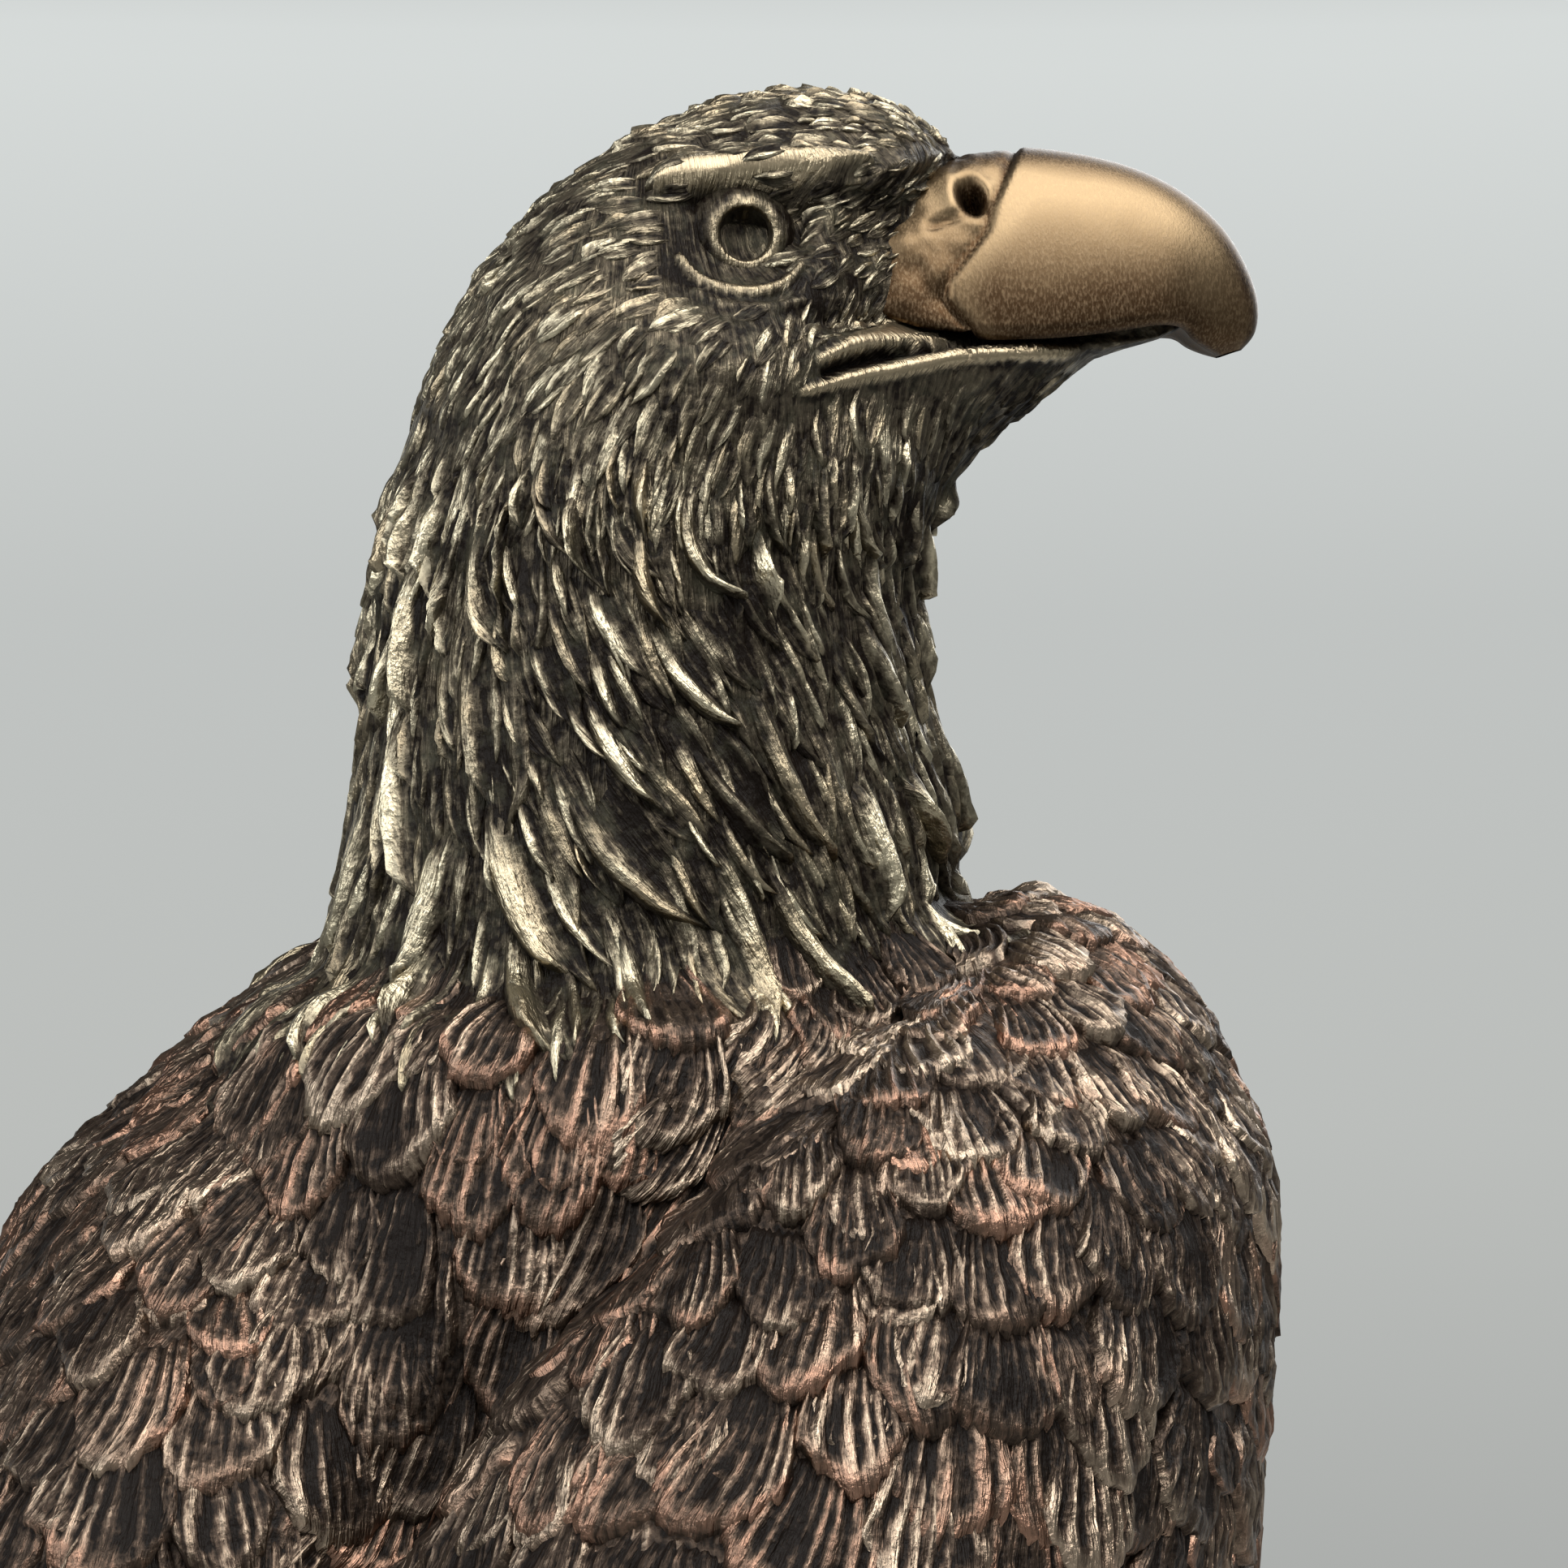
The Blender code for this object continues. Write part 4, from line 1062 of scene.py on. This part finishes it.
def add_rock():
    """Broken stone: each block is a flat face with its own tilt, with crevices between the larger ones."""
    points, faces = remeshed(["rock"], 1.15, 10)
    rng = np.random.default_rng(91)
    z = points[:, 2]
    lift = np.zeros(len(points))
    squashed = np.stack([points[:, 0], points[:, 1], z * 1.35], axis=1) + 3.0 * fractal(points, 12.0, 2)[:, None]
    for blocks, step, tilt, crevice in ((210, 3.4, 0.30, 0.5), (1500, 1.3, 0.30, 0.0)):
        tree = KDTree(blocks)
        spots = rng.uniform((-50, -50, 20), (50, 50, 145), (blocks, 3))
        for number, spot in enumerate(spots):
            tree.insert(spot, number)
        tree.balance()
        found = [tree.find_n(p, 2) for p in squashed.tolist()]
        near = np.array([hits[0][1] for hits in found])
        gap = np.array([hits[1][2] - hits[0][2] for hits in found])
        height, slope = rng.uniform(-0.5, 0.5, blocks), rng.uniform(-tilt, tilt, (blocks, 3))
        lift += step * height[near] + ((squashed - spots[near]) * slope[near]).sum(axis=1)
        lift -= crevice * bell(gap, 0, 0.9)
    lift = relaxed(lift, faces, 1) - 0.6 + 0.9 * (fractal(points, 5.0, 3) - 0.5)
    top = smooth(z, 90, 95) * smooth(normals_of(points, faces)[:, 2], 0.4, 0.9)
    lift = lift * (1 - top) + top * (-0.5 + 0.5 * (fractal(points, 5.0, 3) - 0.5))
    lift = np.clip(lift, -4.0, 1.6) * smooth(z, 22.0, 25.0)
    moved = points + lift[:, None] * normals_of(points, faces)
    moved[:, 2] = np.clip(moved[:, 2], 22.3, 96.2)
    proud = ((moved - relaxed(moved, faces, 8)) * normals_of(moved, faces)).sum(axis=1)
    relief = np.clip(0.3 + proud * 1.1 + 0.1 * smooth(z, 80, 96), 0, 1)
    facts = {"relief": relief, "shade": noise(moved, 16.0), "grain": moved * MM}
    piece("rock_form", moved, faces, ROCK_LOOK, stands_for=["rock"], **facts)


def add_legs():
    for side, hand in ((-1, "right"), (1, "left")):
        points, faces = remeshed([f"{hand}_leg"], 0.34, 4)
        normals = normals_of(points, faces)
        x, y, z = points.T
        out = np.hypot(x - side * 19.0, y + 10.0)
        talon = smooth(out, 20.5, 22.0) * (y < -12) + smooth(out, 14.0, 15.5) * (y >= -12)
        bands = np.abs(((out * 0.62) % 1) - 0.5) * 2
        rings = np.abs(((z * 0.5) % 1) - 0.5) * 2
        scute = np.where(out > 6.5, bands, rings)
        lift = (0.30 * (scute**0.6 - 0.7) + 0.25 * (fractal(points, 1.3, 2) - 0.5)) * (1 - np.clip(talon, 0, 1))
        moved = points + lift[:, None] * normals
        relief = np.clip(0.2 + 0.32 * scute * smooth(normals[:, 2], -0.3, 0.5) + 0.1 * talon, 0, 1)
        facts = {"relief": relief, "shade": noise(moved, 6.0), "grain": moved * MM}
        piece(f"{hand}_foot_form", moved, faces, HEAD_LOOK, stands_for=[f"{hand}_leg"], **facts)


PLINTH_PROFILE = [(0.5, 0.0), (64.5, 0.0), (66.4, -0.5), (67.2, -1.6), (67.4, -3.6), (68.0, -5.6), (69.8, -7.6)]
PLINTH_PROFILE += [(72.6, -9.2), (74.2, -10.0), (74.9, -11.2), (75.0, -13.0), (75.0, -17.0), (74.6, -18.8)]
PLINTH_PROFILE += [(73.4, -19.7), (0.5, -19.7)]


def add_plinth():
    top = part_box("plinth")[1][2] / MM
    rows, turns = 90, 160
    r, z = np.split(np.clip(path(PLINTH_PROFILE, rows), (0.5, -19.7), (75.0, 0)), 2, axis=1)
    turn = np.linspace(0, 2 * math.pi, turns, endpoint=False)
    points = np.stack([r * np.cos(turn), r * np.sin(turn), top + z + 0 * turn], axis=-1).reshape(-1, 3)
    faces = grid_faces(rows, turns, True)[:, ::-1]
    piece("plinth_turned", points, faces, WALNUT_LOOK, "walnut", ["plinth"])


def dress_nodes():
    """Materials for the CAD pieces that are shown as they are."""
    hardware = ("pin", "stud", "nut", "washer", "bolt")
    for name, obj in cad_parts.items():
        look = STEEL_LOOK if any(word in name for word in hardware) else None
        look = FELT_LOOK if name == "felt_pad" else look
        if look:
            obj.data.materials.clear()
            obj.data.materials.append(look)


# ---- stage


# Each light: name; u, v, w; size in metres; watts; colour
LIGHTS = [
    ("overhead", (120, 420, 200), 0.60, 5.5, (1.0, 0.99, 0.97)),
    ("left", (-420, 260, 260), 0.45, 2.6, (0.95, 0.98, 1.0)),
    ("behind", (260, 300, -420), 0.55, 3.0, (0.97, 0.99, 1.0)),
]


def add_floor():
    """A pale floor that fades out into the backdrop."""
    bpy.ops.mesh.primitive_circle_add(vertices=128, radius=2.0, fill_type="NGON", location=(0, 0, 0))
    floor = bpy.context.object
    floor.name = "floor"
    look = Look("floor")
    reach = look.node("ShaderNodeVectorMath", ((0, look.place),), operation="LENGTH")
    look.set(
        Base_Color=look.mix(look.noise(400.0, 2.0), (0.56, 0.575, 0.57), (0.60, 0.615, 0.61)),
        Roughness=0.75,
        Alpha=look.ramp(reach.outputs["Value"], (0.22, 1.0), (0.75, 0.0)),
    )
    floor.data.materials.append(look.made)


def add_backdrop():
    """Grey bands by height, brightest a little over the horizon."""
    sky = Look("studio", bpy.data.worlds, "Background")
    bpy.context.scene.world = sky.made
    split = sky.node("ShaderNodeSeparateXYZ", ((0, sky.places["Generated"]),))
    height = sky.maths("ADD", sky.maths("MULTIPLY", split.outputs["Z"], 0.5), 0.5)
    bands = [(0.0, (0.22, 0.23, 0.225)), (0.38, (0.36, 0.37, 0.36)), (0.46, (0.50, 0.515, 0.50))]
    bands += [(0.52, (0.53, 0.55, 0.54)), (0.585, (0.68, 0.71, 0.70)), (0.63, (0.30, 0.31, 0.31))]
    sky.set(Color=sky.ramp(height, *bands, (0.75, (0.08, 0.085, 0.09))), Strength=1.0)


def add_lights():
    target = Vector(from_head([0, 10, 0]) * MM)
    for name, place, size, watts, colour in LIGHTS:
        data = bpy.data.lights.new(name, "AREA")
        data.shape, data.size, data.energy, data.color = "DISK", size, watts, colour
        obj = linked(name, data)
        obj.location = Vector(from_head(place) * MM)
        obj.rotation_euler = (target - obj.location).to_track_quat("-Z", "Y").to_euler()


def add_camera():
    distance, width = 310.0, 112.8  # of the camera from the cheek, and of what it sees there
    aim = from_head([-0.7, -0.8, 0.0])
    data = bpy.data.cameras.new("camera")
    data.sensor_width = 36.0
    data.lens = data.sensor_width * distance / width
    data.clip_start, data.clip_end = 0.01, 20.0
    obj = linked("camera", data)
    obj.location = Vector((aim + distance * OUT) * MM)
    obj.rotation_euler = Vector(-OUT).to_track_quat("-Z", "Y").to_euler()
    bpy.context.scene.camera = obj


add_skins()
add_head_feathers()
add_neck_feathers()
add_torso_feathers()
add_wing_feathers()
add_fillers()
add_tail_feathers()
for sign, which in ((1, "right"), (-1, "left")):
    add_eye(sign, which)
add_bill()
add_rock()
add_legs()
add_plinth()
dress_nodes()
add_floor()
add_backdrop()
add_lights()
add_camera()
bpy.context.scene.view_settings.view_transform = "Standard"
